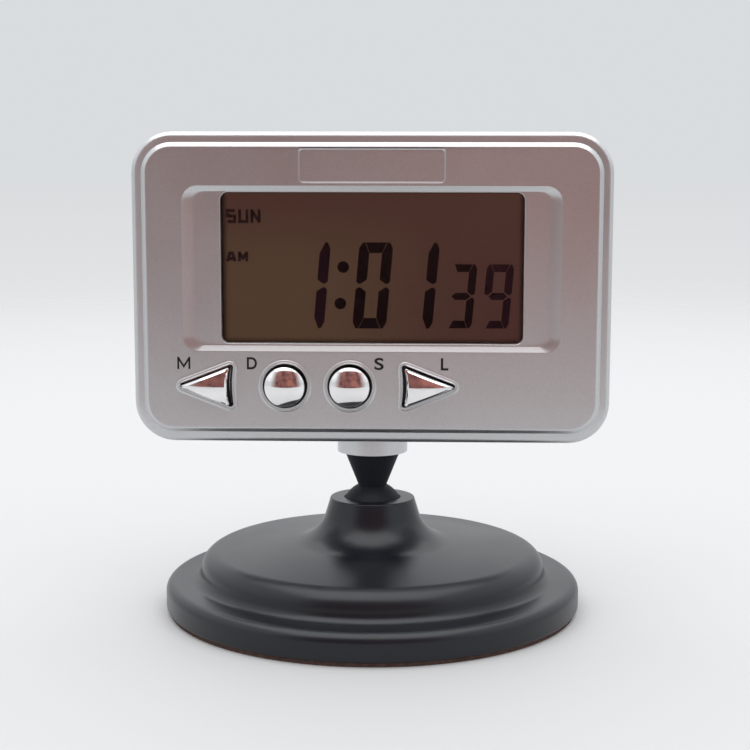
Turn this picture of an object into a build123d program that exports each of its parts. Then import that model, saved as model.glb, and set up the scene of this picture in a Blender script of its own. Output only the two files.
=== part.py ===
from build123d import *
from math import atan2, degrees, sin, sqrt, tan
import os

os.makedirs("parts", exist_ok=True)

# Frame: millimetres, +Z up, origin under the middle of the foot pad.
# The front of the clock faces -Y, and the ball joint stands on the Z axis.

# Foot, from the table upwards
PAD_T = 0.7              # foam foot pad under the plate and the skirt
PAD_IN = 0.6             # pad edge, from the rim
PLATE_T = 2.5            # closing plate of the foot
PLATE_FIT = 0.2          # between plate and skirt
WEIGHT_T = 5.4           # steel ballast ring
WEIGHT_SIDE_GAP = 0.5    # ballast to the screw bosses
WEIGHT_BORE_GAP = 0.6    # ballast to the retainer
WEIGHT_GAP = 0.3         # over the ballast

# Foot shell, a body of revolution
RIM_R = 36.8
RIM_TOP_ROUND = 1.75
RIM_FOOT_ROUND = 0.5
SKIRT_WALL = 2.0
LEDGE_WALL = 2.25
DRUM_IN = 6.5            # upper drum, from the rim
DRUM_LEAN = 0.5          # the drum spreads towards the ledge
DRUM_WALL = 2.2
DRUM_ROUND = 3.5
DRUM_FOOT_ROUND = 1.7
DECK_WALL = 1.35         # deck over the cavity, at the drum edge
DECK_SLOPE = 0.1         # rise of the deck towards the middle, per mm
COLLAR_R = 7.45          # top of the trumpet
COLLAR_LEAN = 0.31       # how far the collar spreads, per mm down
COLLAR_ROUND = 0.25
TRUMPET_R = 7.0          # sweep from collar to deck

# Ball joint
BALL_R = 5.6
BALL_FIT = 0.08          # ball in its cup
CUP_WALL = 0.62
CUP_FLOOR = 1.0
CUP_FIT = 0.1            # cup in its bore
O_RING_T = 0.6           # friction ring under the cup
O_RING_MID_R = 4.4
SPIGOT_H = 0.7           # retainer reaches into the bore
COLLAR_OVER_BALL = 2.8   # collar top over the ball centre
MOUTH_LIP = 0.7
NECK_R = 2.5
CONE_R = 4.95
STEM_L = 11.2            # ball centre to the head socket
PEG_R = 2.4
TURN_FIT = 0.05          # running fits of the head pivot

# Retainer under the ball cup
RETAINER_R = 11.0
RETAINER_T = 1.8
RETAINER_SCREW_R = 8.9   # pitch radius
RETAINER_SCREWS = 3

# Screws: shank radius, head radius, head height
FOOT_SHANK_R, FOOT_HEAD_R, FOOT_HEAD_H = 0.9, 1.7, 1.0
FOOT_SCREW_L = 5.4
CASE_SHANK_R, CASE_HEAD_R, CASE_HEAD_H = 1.0, 1.8, 1.3
BOARD_SHANK_R, BOARD_HEAD_R, BOARD_HEAD_H = 0.8, 1.6, 1.0
BOARD_SCREW_L = 4.6
TIP_GAP = 0.2            # hole runs on past a screw tip
HEAD_FIT = 0.2           # round a sunk screw head
PLATE_SCREWS = 3
PLATE_SCREW_IN = 2.5     # pitch circle inside the drum wall
PLATE_BOSS_R = 2.6

# Head case
HEAD_W = 82.0
HEAD_H = 53.2
CORNER_R = 7.0
WALL = 1.8
FACE_DEPTH = 8.4         # front face to the parting plane
FACE_T = 2.2
FACE_BEVEL = 0.8         # sloping border of the raised face
PANEL_INSET = 1.65       # flat rim round the face
LIP_BACK = 0.7           # rim stands behind the face
LIP_ROUND = 1.4          # outer edge of the rim
BACK_ROUND = 3.4
PARTING_STEP = 0.12      # rear shell is this much smaller all round
TONGUE_T = 0.75          # rear shell's tongue in the front shell
TONGUE_L = 1.2
TONGUE_FIT = 0.05

# Head socket on the stem
SOCKET_R = 6.2
SOCKET_H = 2.7           # shown under the case
SOCKET_NECK_R = 4.2      # in the case wall
SOCKET_FLANGE_GAP = 0.3  # flange to the inside of the face
SOCKET_FLANGE_T = 1.6
SOCKET_HUB_R = 4.4
SOCKET_HUB_H = 1.0
WASHER_R = 4.0
WASHER_T = 0.6
STEM_SHANK_R, STEM_HEAD_R, STEM_HEAD_H = 1.0, 2.9, 1.4
STEM_SCREW_L = 5.5

# Display: window, dish round it, and the stack behind it
WINDOW_W = 52.0
WINDOW_H = 25.95
WINDOW_RISE = 17.2       # window sill over the case bottom
WINDOW_CORNER = 1.4
DISH_SIDE = 6.3          # dish border beside the window
DISH_END = 1.13          # dish border over and under it
DISH_CORNER = 2.7
DISH_D = 0.5
DISH_TAPER = 60.0
LENS_SUNK = 0.7          # lens under the dish floor
LENS_FIT = 0.1
LENS_RIM = 1.2           # flange behind the face
LENS_T = 0.8             # flange thickness
STACK_GAP = 0.1          # lens to display glass
GLASS_T = 1.0            # each of the two panes
GLASS_SIDE = 2.6         # glass beyond the window
GLASS_TOP = 1.4
GLASS_LEDGE = 1.8        # front pane under the sill
PANE_SILL = 0.2          # rear pane under the sill
LIGHT_T = 2.4            # light guide
LIGHT_SIDE = 0.6
FILM_T = 0.3             # reflector behind it
LED_W, LED_H = 1.5, 3.0
HOLDER_FIT = 0.1
HOLDER_WALL = 0.7
ZEBRA_W = 50.0
ZEBRA_H = 1.4

# Blank badge field over the window
BADGE_W = 25.0
BADGE_H = 5.98
BADGE_X = 0.1
BADGE_DROP = 2.68        # under the case top
BADGE_D = 0.15
BADGE_CORNER = 0.9

# Buttons: centre line over the case bottom, places across the face
BUTTON_RISE = 9.9
BUTTON_TRAVEL = 0.5
BUTTON_PROUD = 2.5       # over the face
HOLE_LIP_W = 0.8
HOLE_LIP_H = 0.15
ROUND_X = (-14.8, -3.65)
ROUND_HOLE_R = 3.85
ROUND_GAP = 0.4          # round cap in its hole
DOME_H = 1.0
ARROW_BASE_X = (-23.6, 5.12)     # short side of the left and right arrow hole
ARROW_L = 10.2
ARROW_GAP = 0.3          # arrow cap in its hole, along the two long sides
ARROW_SET = 0.35         # wider gap at the short side
ARROW_HALF = 3.95
ARROW_CORNER = 0.5
ARROW_BOW = 0.4
ARROW_SEAT = 3.3         # switch, from the short side
ARROW_BEVEL = 0.3
FLANGE_W = 0.75          # cap flange behind the face, beyond the cap
FLANGE_T = 0.8
CAP_PLAY = 0.1
CAP_STEM_R = 1.6

# Circuit board and what it carries
BOARD_T = 1.2
BOARD_SIDE_GAP = 0.4     # board to the side walls
BOARD_FOOT_GAP = 0.35    # board over the stem screw
BOARD_TOP_GAP = 0.6
BOARD_HOLD = 3.2         # board edge to the middle of a case screw
SWITCH_W = 4.4
SWITCH_T = 2.0
SWITCH_WELL_D = 1.3
PIN_R = 0.95
PIN_FIT = 0.1
PIN_FLOOR_GAP = 0.1
POST_R = 2.0
POST_GAP = 0.4           # post to the side wall
POST_STEP = 5.0          # post to the nearest case screw
CHIP_R, CHIP_H, CHIP_AT = 5.5, 1.4, (2.0, 1.0)
CRYSTAL_R, CRYSTAL_L, CRYSTAL_AT = 1.0, 6.0, (-6.0, -11.0)
CAN_R, CAN_H, CAN_AT = 2.5, 5.0, (13.0, 6.0)
CHIP_CAPS, CHIP_CAP_W, CHIP_CAP_L, CHIP_CAP_H = 3, 1.2, 2.0, 0.8
CHIP_CAP_STEP, CHIP_CAP_AT = 3.0, (-8.0, 9.0)
SOUNDER_R, SOUNDER_H, SOUNDER_AT = 6.0, 5.3, (-21.0, -3.0)
SOUNDER_PORT_R, SOUNDER_PORT_D = 1.0, 2.65
GRILLE_R, GRILLE_HOLE_R, GRILLE_HOLES = 2.4, 0.65, 6

# Battery bay in the rear shell
CELL_R = 5.8
CELL_T = 5.4
CELL_GAP = 0.8           # between the two cells
CELL_FIT = 0.2
BAY_SIDE_GAP = 0.5       # bay to the flange of the stem socket
BAY_WALL = 1.0
BAY_FLOOR = 0.8          # partition towards the board
BAY_BOARD_GAP = 0.4
CONTACT_T = 0.3
CONTACT_BUMP = 0.25
CONTACT_BUMP_R = 2.0
CONTACT_W, CONTACT_H = 7.0, 6.0
CONTACT_LEG = 1.2
BRIDGE_W, BRIDGE_H = 20.0, 6.0
BRIDGE_FIT = 0.05
BRIDGE_SIDE_FIT = 0.3
DOOR_T = 1.5
DOOR_FIT = 0.15
DOOR_RAIL_W = 0.8
DOOR_RAIL_T = 0.7
DOOR_RISE = 1.4          # lower edge of the door over the case bottom
GRIP_RIBS, GRIP_W, GRIP_D, GRIP_STEP, GRIP_L = 4, 0.5, 0.3, 1.3, 12.0

# Case screws
SCREW_BOSS_R = 2.4
SCREW_GAP = 0.4          # boss to the side wall
SCREW_OVER_BAY = 0.2     # lower boss over the battery bay
SCREW_TOP = 6.0          # under the case top
SCREW_SEAT = 4.6         # head seat, from the parting plane
SCREW_BITE = 4.2         # into the front shell

# Heights that follow
plate_top = PAD_T + PLATE_T
cavity_top = plate_top + WEIGHT_T + WEIGHT_GAP
drum_r = RIM_R - DRUM_IN
cavity_r = drum_r - DRUM_WALL
skirt_r = RIM_R - SKIRT_WALL
plate_screw_r = cavity_r - PLATE_SCREW_IN
deck_edge = cavity_top + DECK_WALL
ball_z = cavity_top + SPIGOT_H + O_RING_T + CUP_FLOOR + BALL_FIT + BALL_R
collar_top = ball_z + COLLAR_OVER_BALL
lip_z = collar_top - MOUTH_LIP
socket_r = BALL_R + BALL_FIT
cup_r = socket_r + CUP_WALL
bore_r = cup_r + CUP_FIT
cup_floor_z = cavity_top + SPIGOT_H + O_RING_T
socket_z = ball_z + STEM_L
head_z = socket_z + SOCKET_H
head_mid = head_z + HEAD_H / 2
head_top = head_z + HEAD_H
floor_z = head_z + WALL
flange_top = floor_z + SOCKET_FLANGE_T
hub_top = flange_top + SOCKET_HUB_H
peg_top = hub_top + TURN_FIT
stem_head_z = peg_top + WASHER_T
window_z = head_z + WINDOW_RISE + WINDOW_H / 2
sill_z = head_z + WINDOW_RISE
button_z = head_z + BUTTON_RISE

# Depths that follow, from the front face to the back
face_y = -FACE_DEPTH
lip_y = face_y + LIP_BACK
inner_y = face_y + FACE_T
dish_y = face_y + DISH_D
lens_back_y = inner_y + LENS_T
glass_y = lens_back_y + STACK_GAP
pane_y = glass_y + GLASS_T
light_y = pane_y + GLASS_T
film_y = light_y + LIGHT_T
board_y = film_y + FILM_T
board_back_y = board_y + BOARD_T
bay_y = board_back_y + BAY_BOARD_GAP
contact_y = bay_y + BAY_FLOOR
cell_y = contact_y + CONTACT_T + CONTACT_BUMP
bridge_y = cell_y + CELL_T + BRIDGE_FIT
door_y = bridge_y + CONTACT_T
back_y = door_y + DOOR_T
back_wall_y = back_y - WALL
switch_y = board_y - SWITCH_T
pin_y = switch_y - BUTTON_TRAVEL
socket_flange_r = -inner_y - SOCKET_FLANGE_GAP

# Battery bay
bay_half_w = 2 * CELL_R + CELL_GAP / 2 + CELL_FIT
bay_x = socket_flange_r + BAY_SIDE_GAP + BAY_WALL + bay_half_w
bay_low = floor_z + BAY_WALL
bay_high = bay_low + 2 * (CELL_R + CELL_FIT)
cell_z = (bay_low + bay_high) / 2
cell_step = CELL_R + CELL_GAP / 2
door_low = head_z + DOOR_RISE
door_high = bay_high + DOOR_RAIL_W

# Case screws and board posts, by the side walls
screw_x = HEAD_W / 2 - WALL - SCREW_GAP - SCREW_BOSS_R
screw_low = bay_high + BAY_WALL + SCREW_OVER_BAY + SCREW_BOSS_R
screw_high = head_top - SCREW_TOP
screw_spots = [(side * screw_x, z) for side in (-1, 1) for z in (screw_low, screw_high)]
post_x = HEAD_W / 2 - WALL - POST_GAP - POST_R
post_spots = [(side * post_x, z) for side in (-1, 1)
              for z in (screw_low + POST_STEP, screw_high - POST_STEP)]
arrow_switch_x = (ARROW_BASE_X[0] - ARROW_SEAT, ARROW_BASE_X[1] + ARROW_SEAT)


def at_y(y):
    """Plane facing the front at depth y: local x is X, local y is Z."""
    return Plane.XZ.offset(-y)


def case_outline(inset):
    """Rounded outline of the head, drawn inset from its side walls."""
    with Locations((0, head_mid)):
        RectangleRounded(HEAD_W - 2 * inset, HEAD_H - 2 * inset, CORNER_R - inset)


def arrow_outline(base_x, point, grow, short_in=0):
    """Arrow whose point is to the left (-1) or right (1), its sides moved out by grow."""
    slope = atan2(ARROW_HALF, ARROW_L)
    reach = ARROW_L + grow / sin(slope)
    start = short_in - grow
    half = (reach - start) * tan(slope)
    low, high = (point * start, -half), (point * start, half)
    with BuildSketch(mode=Mode.PRIVATE) as arrow:
        with BuildLine():
            Polyline(low, (point * reach, 0), high)
            ThreePointArc(high, (point * (ARROW_BOW + start), 0), low)
        make_face()
        fillet(arrow.vertices(), ARROW_CORNER)
    add(arrow.sketch.moved(Location((base_x, button_z))))


def rear_body():
    """Solid outer form of the rear shell."""
    with BuildSketch(at_y(back_y)) as outline:
        case_outline(PARTING_STEP)
    extrude(outline.sketch, amount=back_y)
    fillet(faces().sort_by(Axis.Y)[-1].edges(), BACK_ROUND)


def posts(spots, r, y_front, y_back, mode=Mode.ADD):
    """Round posts or holes along Y at (x, z) spots."""
    with BuildSketch(at_y(y_back)) as outline:
        with Locations(*spots):
            Circle(r)
    extrude(outline.sketch, amount=y_back - y_front, mode=mode)


def blocks(spots, w, h, y_front, y_back, mode=Mode.ADD):
    """Square-cornered blocks or pockets along Y at (x, z) spots."""
    with BuildSketch(at_y(y_back)) as outline:
        with Locations(*spots):
            Rectangle(w, h)
    extrude(outline.sketch, amount=y_back - y_front, mode=mode)


def ring(r_in, r_out, z_low, z_high, mode=Mode.ADD):
    """Ring or disc about the Z axis."""
    with BuildSketch(Plane.XY.offset(z_low)) as outline:
        Circle(r_out)
        if r_in:
            Circle(r_in, mode=Mode.SUBTRACT)
    extrude(outline.sketch, amount=z_high - z_low, mode=mode)


def stem_passage(r):
    """Half hole for the stem socket through the case floor."""
    ring(0, r, head_z - WALL, floor_z + TONGUE_T, mode=Mode.SUBTRACT)


def screws_up(count, pitch_r, shank, head, head_h, seat_z, length):
    """Screws driven upwards on a pitch circle."""
    with PolarLocations(pitch_r, count):
        with Locations((0, 0, seat_z)):
            Cylinder(shank, length, align=(Align.CENTER, Align.CENTER, Align.MIN))
            Cylinder(head, head_h, align=(Align.CENTER, Align.CENTER, Align.MAX))


# Foot shell: drum, ledge, rim and trumpet turned in one, hollow below
mouth_low_r = sqrt(socket_r**2 - (lip_z - ball_z) ** 2)
mouth_top_r = sqrt(socket_r**2 - (collar_top - ball_z) ** 2)
ledge_z = plate_top + LEDGE_WALL
deck_axis_z = deck_edge + DECK_SLOPE * drum_r
foot_r = (COLLAR_R + COLLAR_LEAN * (collar_top - deck_axis_z)) / (1 - COLLAR_LEAN * DECK_SLOPE)
deck_foot = deck_edge + DECK_SLOPE * (drum_r - foot_r)
retainer_hole_top = cavity_top - RETAINER_T + FOOT_SCREW_L + TIP_GAP
plate_hole_top = PAD_T + FOOT_HEAD_H + FOOT_SCREW_L + TIP_GAP
with BuildPart() as base_shell:
    with BuildSketch(Plane.XZ):
        with BuildLine():
            FilletPolyline(
                (mouth_top_r, collar_top), (COLLAR_R, collar_top), (foot_r, deck_foot),
                (drum_r, deck_edge), (drum_r + DRUM_LEAN, ledge_z), (RIM_R, ledge_z),
                (RIM_R, PAD_T), (skirt_r, PAD_T), (skirt_r, plate_top),
                (cavity_r, plate_top), (cavity_r, cavity_top), (bore_r, cavity_top),
                (bore_r, lip_z), (mouth_low_r, lip_z),
                radius=[0, COLLAR_ROUND, TRUMPET_R, DRUM_ROUND, DRUM_FOOT_ROUND,
                        RIM_TOP_ROUND, RIM_FOOT_ROUND, 0, 0, 0, 0, 0, 0, 0],
                close=True,
            )
        make_face()
    revolve(axis=Axis.Z)
    with PolarLocations(plate_screw_r, PLATE_SCREWS):
        with Locations((0, 0, plate_top)):
            Cylinder(PLATE_BOSS_R, cavity_top - plate_top,
                     align=(Align.CENTER, Align.CENTER, Align.MIN))
            Cylinder(FOOT_SHANK_R, plate_hole_top - plate_top, mode=Mode.SUBTRACT,
                     align=(Align.CENTER, Align.CENTER, Align.MIN))
    with PolarLocations(RETAINER_SCREW_R, RETAINER_SCREWS):
        with Locations((0, 0, cavity_top)):
            Cylinder(FOOT_SHANK_R, retainer_hole_top - cavity_top, mode=Mode.SUBTRACT,
                     align=(Align.CENTER, Align.CENTER, Align.MIN))
base_shell.part.label = "base_shell"
export_step(base_shell.part, "parts/base_shell.step")

# Foam pad under the foot
with BuildPart() as foot_pad:
    ring(0, RIM_R - PAD_IN, 0, PAD_T)
foot_pad.part.label = "foot_pad"
export_step(foot_pad.part, "parts/foot_pad.step")

# Closing plate, with sunk screw heads over the pad
with BuildPart() as base_plate:
    ring(0, skirt_r - PLATE_FIT, PAD_T, plate_top)
    with PolarLocations(plate_screw_r, PLATE_SCREWS):
        with Locations((0, 0, PAD_T)):
            Cylinder(FOOT_HEAD_R + HEAD_FIT, FOOT_HEAD_H, mode=Mode.SUBTRACT,
                     align=(Align.CENTER, Align.CENTER, Align.MIN))
            Cylinder(FOOT_SHANK_R, PLATE_T, mode=Mode.SUBTRACT,
                     align=(Align.CENTER, Align.CENTER, Align.MIN))
base_plate.part.label = "base_plate"
export_step(base_plate.part, "parts/base_plate.step")

with BuildPart() as plate_screws:
    screws_up(PLATE_SCREWS, plate_screw_r, FOOT_SHANK_R, FOOT_HEAD_R, FOOT_HEAD_H,
              PAD_T + FOOT_HEAD_H, FOOT_SCREW_L)
plate_screws.part.label = "plate_screws"
export_step(plate_screws.part, "parts/plate_screws.step")

# Ballast ring lying on the plate
weight_r = plate_screw_r - PLATE_BOSS_R - WEIGHT_SIDE_GAP
with BuildPart() as base_weight:
    ring(RETAINER_R + WEIGHT_BORE_GAP, weight_r, plate_top, plate_top + WEIGHT_T)
base_weight.part.label = "base_weight"
export_step(base_weight.part, "parts/base_weight.step")

# Retainer: disc under the deck, with a spigot in the bore
with BuildPart() as ball_retainer:
    ring(0, RETAINER_R, cavity_top - RETAINER_T, cavity_top)
    ring(0, bore_r - CUP_FIT, cavity_top, cavity_top + SPIGOT_H)
    with PolarLocations(RETAINER_SCREW_R, RETAINER_SCREWS):
        with Locations((0, 0, cavity_top - RETAINER_T)):
            Cylinder(FOOT_SHANK_R, RETAINER_T, mode=Mode.SUBTRACT,
                     align=(Align.CENTER, Align.CENTER, Align.MIN))
ball_retainer.part.label = "ball_retainer"
export_step(ball_retainer.part, "parts/ball_retainer.step")

with BuildPart() as retainer_screws:
    screws_up(RETAINER_SCREWS, RETAINER_SCREW_R, FOOT_SHANK_R, FOOT_HEAD_R, FOOT_HEAD_H,
              cavity_top - RETAINER_T, FOOT_SCREW_L)
retainer_screws.part.label = "retainer_screws"
export_step(retainer_screws.part, "parts/retainer_screws.step")

# Silicone ring that gives the joint its drag
with BuildPart() as friction_ring:
    with BuildSketch(Plane.XZ):
        with Locations((O_RING_MID_R, cavity_top + SPIGOT_H + O_RING_T / 2)):
            Circle(O_RING_T / 2)
    revolve(axis=Axis.Z)
friction_ring.part.label = "friction_ring"
export_step(friction_ring.part, "parts/friction_ring.step")

# Ball cup, turning in the bore
with BuildPart() as ball_cup:
    ring(0, cup_r, cup_floor_z, lip_z - CUP_FIT)
    with Locations((0, 0, ball_z)):
        Sphere(socket_r, mode=Mode.SUBTRACT)
ball_cup.part.label = "ball_cup"
export_step(ball_cup.part, "parts/ball_cup.step")

# Ball, cone and peg in one turned piece
neck_z = ball_z + sqrt(BALL_R**2 - NECK_R**2)
cone_top = socket_z - TURN_FIT
with BuildPart() as ball_stud:
    with BuildSketch(Plane.XZ):
        with BuildLine():
            ThreePointArc((0, ball_z - BALL_R), (BALL_R, ball_z), (NECK_R, neck_z))
            Polyline((NECK_R, neck_z), (CONE_R, cone_top), (PEG_R, cone_top), (PEG_R, peg_top),
                     (0, peg_top), (0, ball_z - BALL_R))
        make_face()
    revolve(axis=Axis.Z)
    ring(0, STEM_SHANK_R, peg_top - STEM_SCREW_L - TIP_GAP, peg_top, mode=Mode.SUBTRACT)
ball_stud.part.label = "ball_stud"
export_step(ball_stud.part, "parts/ball_stud.step")

# Washer and screw that keep the head on the peg
with BuildPart() as stem_washer:
    ring(STEM_SHANK_R, WASHER_R, peg_top, stem_head_z)
stem_washer.part.label = "stem_washer"
export_step(stem_washer.part, "parts/stem_washer.step")

with BuildPart() as stem_screw:
    ring(0, STEM_HEAD_R, stem_head_z, stem_head_z + STEM_HEAD_H)
    ring(0, STEM_SHANK_R, peg_top - STEM_SCREW_L + WASHER_T, stem_head_z)
stem_screw.part.label = "stem_screw"
export_step(stem_screw.part, "parts/stem_screw.step")

# Socket on the underside of the head: boss, neck in the case wall, flange and hub
with BuildPart() as stem_socket:
    ring(0, SOCKET_R, socket_z, head_z)
    ring(0, SOCKET_NECK_R, head_z, floor_z)
    ring(0, socket_flange_r, floor_z, flange_top)
    ring(0, SOCKET_HUB_R, flange_top, hub_top)
    ring(0, PEG_R + TURN_FIT, socket_z, hub_top, mode=Mode.SUBTRACT)
stem_socket.part.label = "stem_socket"
export_step(stem_socket.part, "parts/stem_socket.step")

# Front shell: rim and raised face, dish and window, button holes
bevel_taper = degrees(atan2(FACE_BEVEL, LIP_BACK))
with BuildPart() as front_case:
    with BuildSketch(at_y(0)):
        case_outline(0)
    extrude(amount=-lip_y)
    fillet(faces().sort_by(Axis.Y)[0].edges(), LIP_ROUND)
    with BuildSketch(at_y(lip_y)):
        case_outline(PANEL_INSET)
    extrude(amount=LIP_BACK, taper=bevel_taper)
    with BuildSketch(at_y(0)):
        case_outline(WALL)
    extrude(amount=-inner_y, mode=Mode.SUBTRACT)
    with BuildSketch(at_y(0)):
        case_outline(WALL - TONGUE_T - TONGUE_FIT)
    extrude(amount=TONGUE_L + TONGUE_FIT, mode=Mode.SUBTRACT)
    posts(screw_spots, SCREW_BOSS_R, inner_y, 0)
    posts(screw_spots, CASE_SHANK_R, -SCREW_BITE - TIP_GAP, 0, mode=Mode.SUBTRACT)
    posts(post_spots, POST_R, inner_y, board_y)
    post_hole_y = board_back_y - BOARD_SCREW_L - TIP_GAP
    posts(post_spots, BOARD_SHANK_R, post_hole_y, board_y, mode=Mode.SUBTRACT)
    with BuildSketch(at_y(face_y)):
        with Locations((0, window_z)):
            RectangleRounded(WINDOW_W + 2 * DISH_SIDE, WINDOW_H + 2 * DISH_END, DISH_CORNER)
    extrude(amount=-DISH_D, taper=DISH_TAPER, mode=Mode.SUBTRACT)
    with BuildSketch(at_y(inner_y)):
        with Locations((0, window_z)):
            RectangleRounded(WINDOW_W, WINDOW_H, WINDOW_CORNER)
    extrude(amount=FACE_T, mode=Mode.SUBTRACT)
    with BuildSketch(at_y(face_y + BADGE_D)):
        with Locations((BADGE_X, head_top - BADGE_DROP - BADGE_H / 2)):
            RectangleRounded(BADGE_W, BADGE_H, BADGE_CORNER)
    extrude(amount=BADGE_D, mode=Mode.SUBTRACT)
    posts([(x, button_z) for x in ROUND_X], ROUND_HOLE_R + HOLE_LIP_W,
          face_y - HOLE_LIP_H, inner_y)
    posts([(x, button_z) for x in ROUND_X], ROUND_HOLE_R, face_y - HOLE_LIP_H, inner_y,
          mode=Mode.SUBTRACT)
    for base_x, point in zip(ARROW_BASE_X, (-1, 1)):
        with BuildSketch(at_y(inner_y)):
            arrow_outline(base_x, point, HOLE_LIP_W)
        extrude(amount=FACE_T + HOLE_LIP_H)
        with BuildSketch(at_y(inner_y)):
            arrow_outline(base_x, point, 0)
        extrude(amount=FACE_T + HOLE_LIP_H, mode=Mode.SUBTRACT)
    stem_passage(SOCKET_NECK_R)
front_case.part.label = "front_case"
export_step(front_case.part, "parts/front_case.step")

# Rear shell: tongue, screw bosses, battery bay, door channel and sounder grille
sounder_spot = (SOUNDER_AT[0], window_z + SOUNDER_AT[1])
with BuildPart() as rear_case:
    rear_body()
    with BuildSketch(at_y(back_wall_y)):
        case_outline(WALL)
    extrude(amount=back_wall_y, mode=Mode.SUBTRACT)
    with BuildSketch(at_y(0)):
        case_outline(WALL - TONGUE_T)
        with Locations((0, head_mid)):
            RectangleRounded(HEAD_W - 2 * WALL, HEAD_H - 2 * WALL, CORNER_R - WALL,
                             mode=Mode.SUBTRACT)
    extrude(amount=TONGUE_L)
    posts(screw_spots, SCREW_BOSS_R, 0, back_wall_y)
    posts(screw_spots, CASE_SHANK_R, 0, back_y, mode=Mode.SUBTRACT)
    posts(screw_spots, CASE_HEAD_R + HEAD_FIT, SCREW_SEAT, back_y, mode=Mode.SUBTRACT)
    blocks([(bay_x, (bay_low + bay_high) / 2)], 2 * (bay_half_w + BAY_WALL),
           bay_high - bay_low + 2 * BAY_WALL, bay_y, back_wall_y + DOOR_FIT)
    blocks([(bay_x, (bay_low + bay_high) / 2)], 2 * bay_half_w, bay_high - bay_low,
           contact_y, back_y, mode=Mode.SUBTRACT)
    for side in (-1, 1):
        blocks([(bay_x + side * cell_step, cell_z)], CONTACT_LEG, CONTACT_LEG, bay_y, contact_y,
               mode=Mode.SUBTRACT)
    door_cut = door_high + DOOR_FIT
    blocks([(bay_x, (door_cut + head_z) / 2)], 2 * (bay_half_w + DOOR_FIT), door_cut - head_z,
           door_y - DOOR_FIT / 2, back_y, mode=Mode.SUBTRACT)
    blocks([(bay_x, (door_cut + head_z) / 2)], 2 * (bay_half_w + DOOR_RAIL_W + DOOR_FIT),
           door_cut - head_z, door_y - DOOR_FIT / 2, door_y + DOOR_RAIL_T + DOOR_FIT / 2,
           mode=Mode.SUBTRACT)
    blocks([(bay_x, (cell_z + head_z) / 2)], BRIDGE_W + 2 * BRIDGE_SIDE_FIT, cell_z - head_z,
           bridge_y - DOOR_FIT / 2, door_y, mode=Mode.SUBTRACT)
    posts([sounder_spot], GRILLE_HOLE_R, back_wall_y, back_y, mode=Mode.SUBTRACT)
    with BuildSketch(at_y(back_y)):
        with Locations(sounder_spot):
            with PolarLocations(GRILLE_R, GRILLE_HOLES):
                Circle(GRILLE_HOLE_R)
    extrude(amount=WALL, mode=Mode.SUBTRACT)
    stem_passage(SOCKET_NECK_R)
rear_case.part.label = "rear_case"
export_step(rear_case.part, "parts/rear_case.step")

# Battery door, cut from the same outer form, with a rail down each side
with BuildPart() as battery_door:
    rear_body()
    with BuildSketch(at_y(back_y)):
        with Locations((bay_x, (door_low + door_high) / 2)):
            Rectangle(2 * bay_half_w, door_high - door_low)
    extrude(amount=DOOR_T, mode=Mode.INTERSECT)
    blocks([(bay_x, (door_low + door_high) / 2)], 2 * (bay_half_w + DOOR_RAIL_W),
           door_high - door_low, door_y, door_y + DOOR_RAIL_T)
    with BuildSketch(at_y(back_y)):
        with Locations((bay_x, door_high - GRIP_RIBS * GRIP_STEP)):
            with GridLocations(0, GRIP_STEP, 1, GRIP_RIBS):
                SlotOverall(GRIP_L, GRIP_W)
    extrude(amount=GRIP_D, mode=Mode.SUBTRACT)
battery_door.part.label = "battery_door"
export_step(battery_door.part, "parts/battery_door.step")

# Bridge strip inside the door, joining the two cells
with BuildPart() as door_contact:
    blocks([(bay_x, cell_z)], BRIDGE_W, BRIDGE_H, bridge_y, door_y)
door_contact.part.label = "door_contact"
export_step(door_contact.part, "parts/door_contact.step")

# Two button cells side by side
with BuildPart() as button_cells:
    posts([(bay_x + side * cell_step, cell_z) for side in (-1, 1)], CELL_R,
          cell_y, cell_y + CELL_T)
button_cells.part.label = "button_cells"
export_step(button_cells.part, "parts/button_cells.step")

# Contact plates on the partition, each with a bump and a leg to the board
for side, name in ((-1, "contact_negative"), (1, "contact_positive")):
    spot = (bay_x + side * cell_step, cell_z)
    with BuildPart() as contact:
        blocks([spot], CONTACT_W, CONTACT_H, contact_y, contact_y + CONTACT_T)
        posts([spot], CONTACT_BUMP_R, contact_y + CONTACT_T, cell_y)
        blocks([spot], CONTACT_LEG, CONTACT_LEG, board_back_y, contact_y)
    contact.part.label = name
    export_step(contact.part, f"parts/{name}.step")

# Four case screws, driven from the back
with BuildPart() as case_screws:
    posts(screw_spots, CASE_SHANK_R, -SCREW_BITE, SCREW_SEAT)
    posts(screw_spots, CASE_HEAD_R, SCREW_SEAT, SCREW_SEAT + CASE_HEAD_H)
case_screws.part.label = "case_screws"
export_step(case_screws.part, "parts/case_screws.step")

# Clear window: raised field in the opening, flange behind the face
with BuildPart() as display_window:
    with BuildSketch(at_y(lens_back_y)):
        with Locations((0, window_z)):
            RectangleRounded(WINDOW_W + 2 * LENS_RIM, WINDOW_H + 2 * LENS_RIM, WINDOW_CORNER)
    extrude(amount=LENS_T)
    with BuildSketch(at_y(inner_y)):
        with Locations((0, window_z)):
            RectangleRounded(WINDOW_W - 2 * LENS_FIT, WINDOW_H - 2 * LENS_FIT,
                             WINDOW_CORNER - LENS_FIT)
    extrude(amount=inner_y - dish_y - LENS_SUNK)
display_window.part.label = "display_window"
export_step(display_window.part, "parts/display_window.step")

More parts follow.
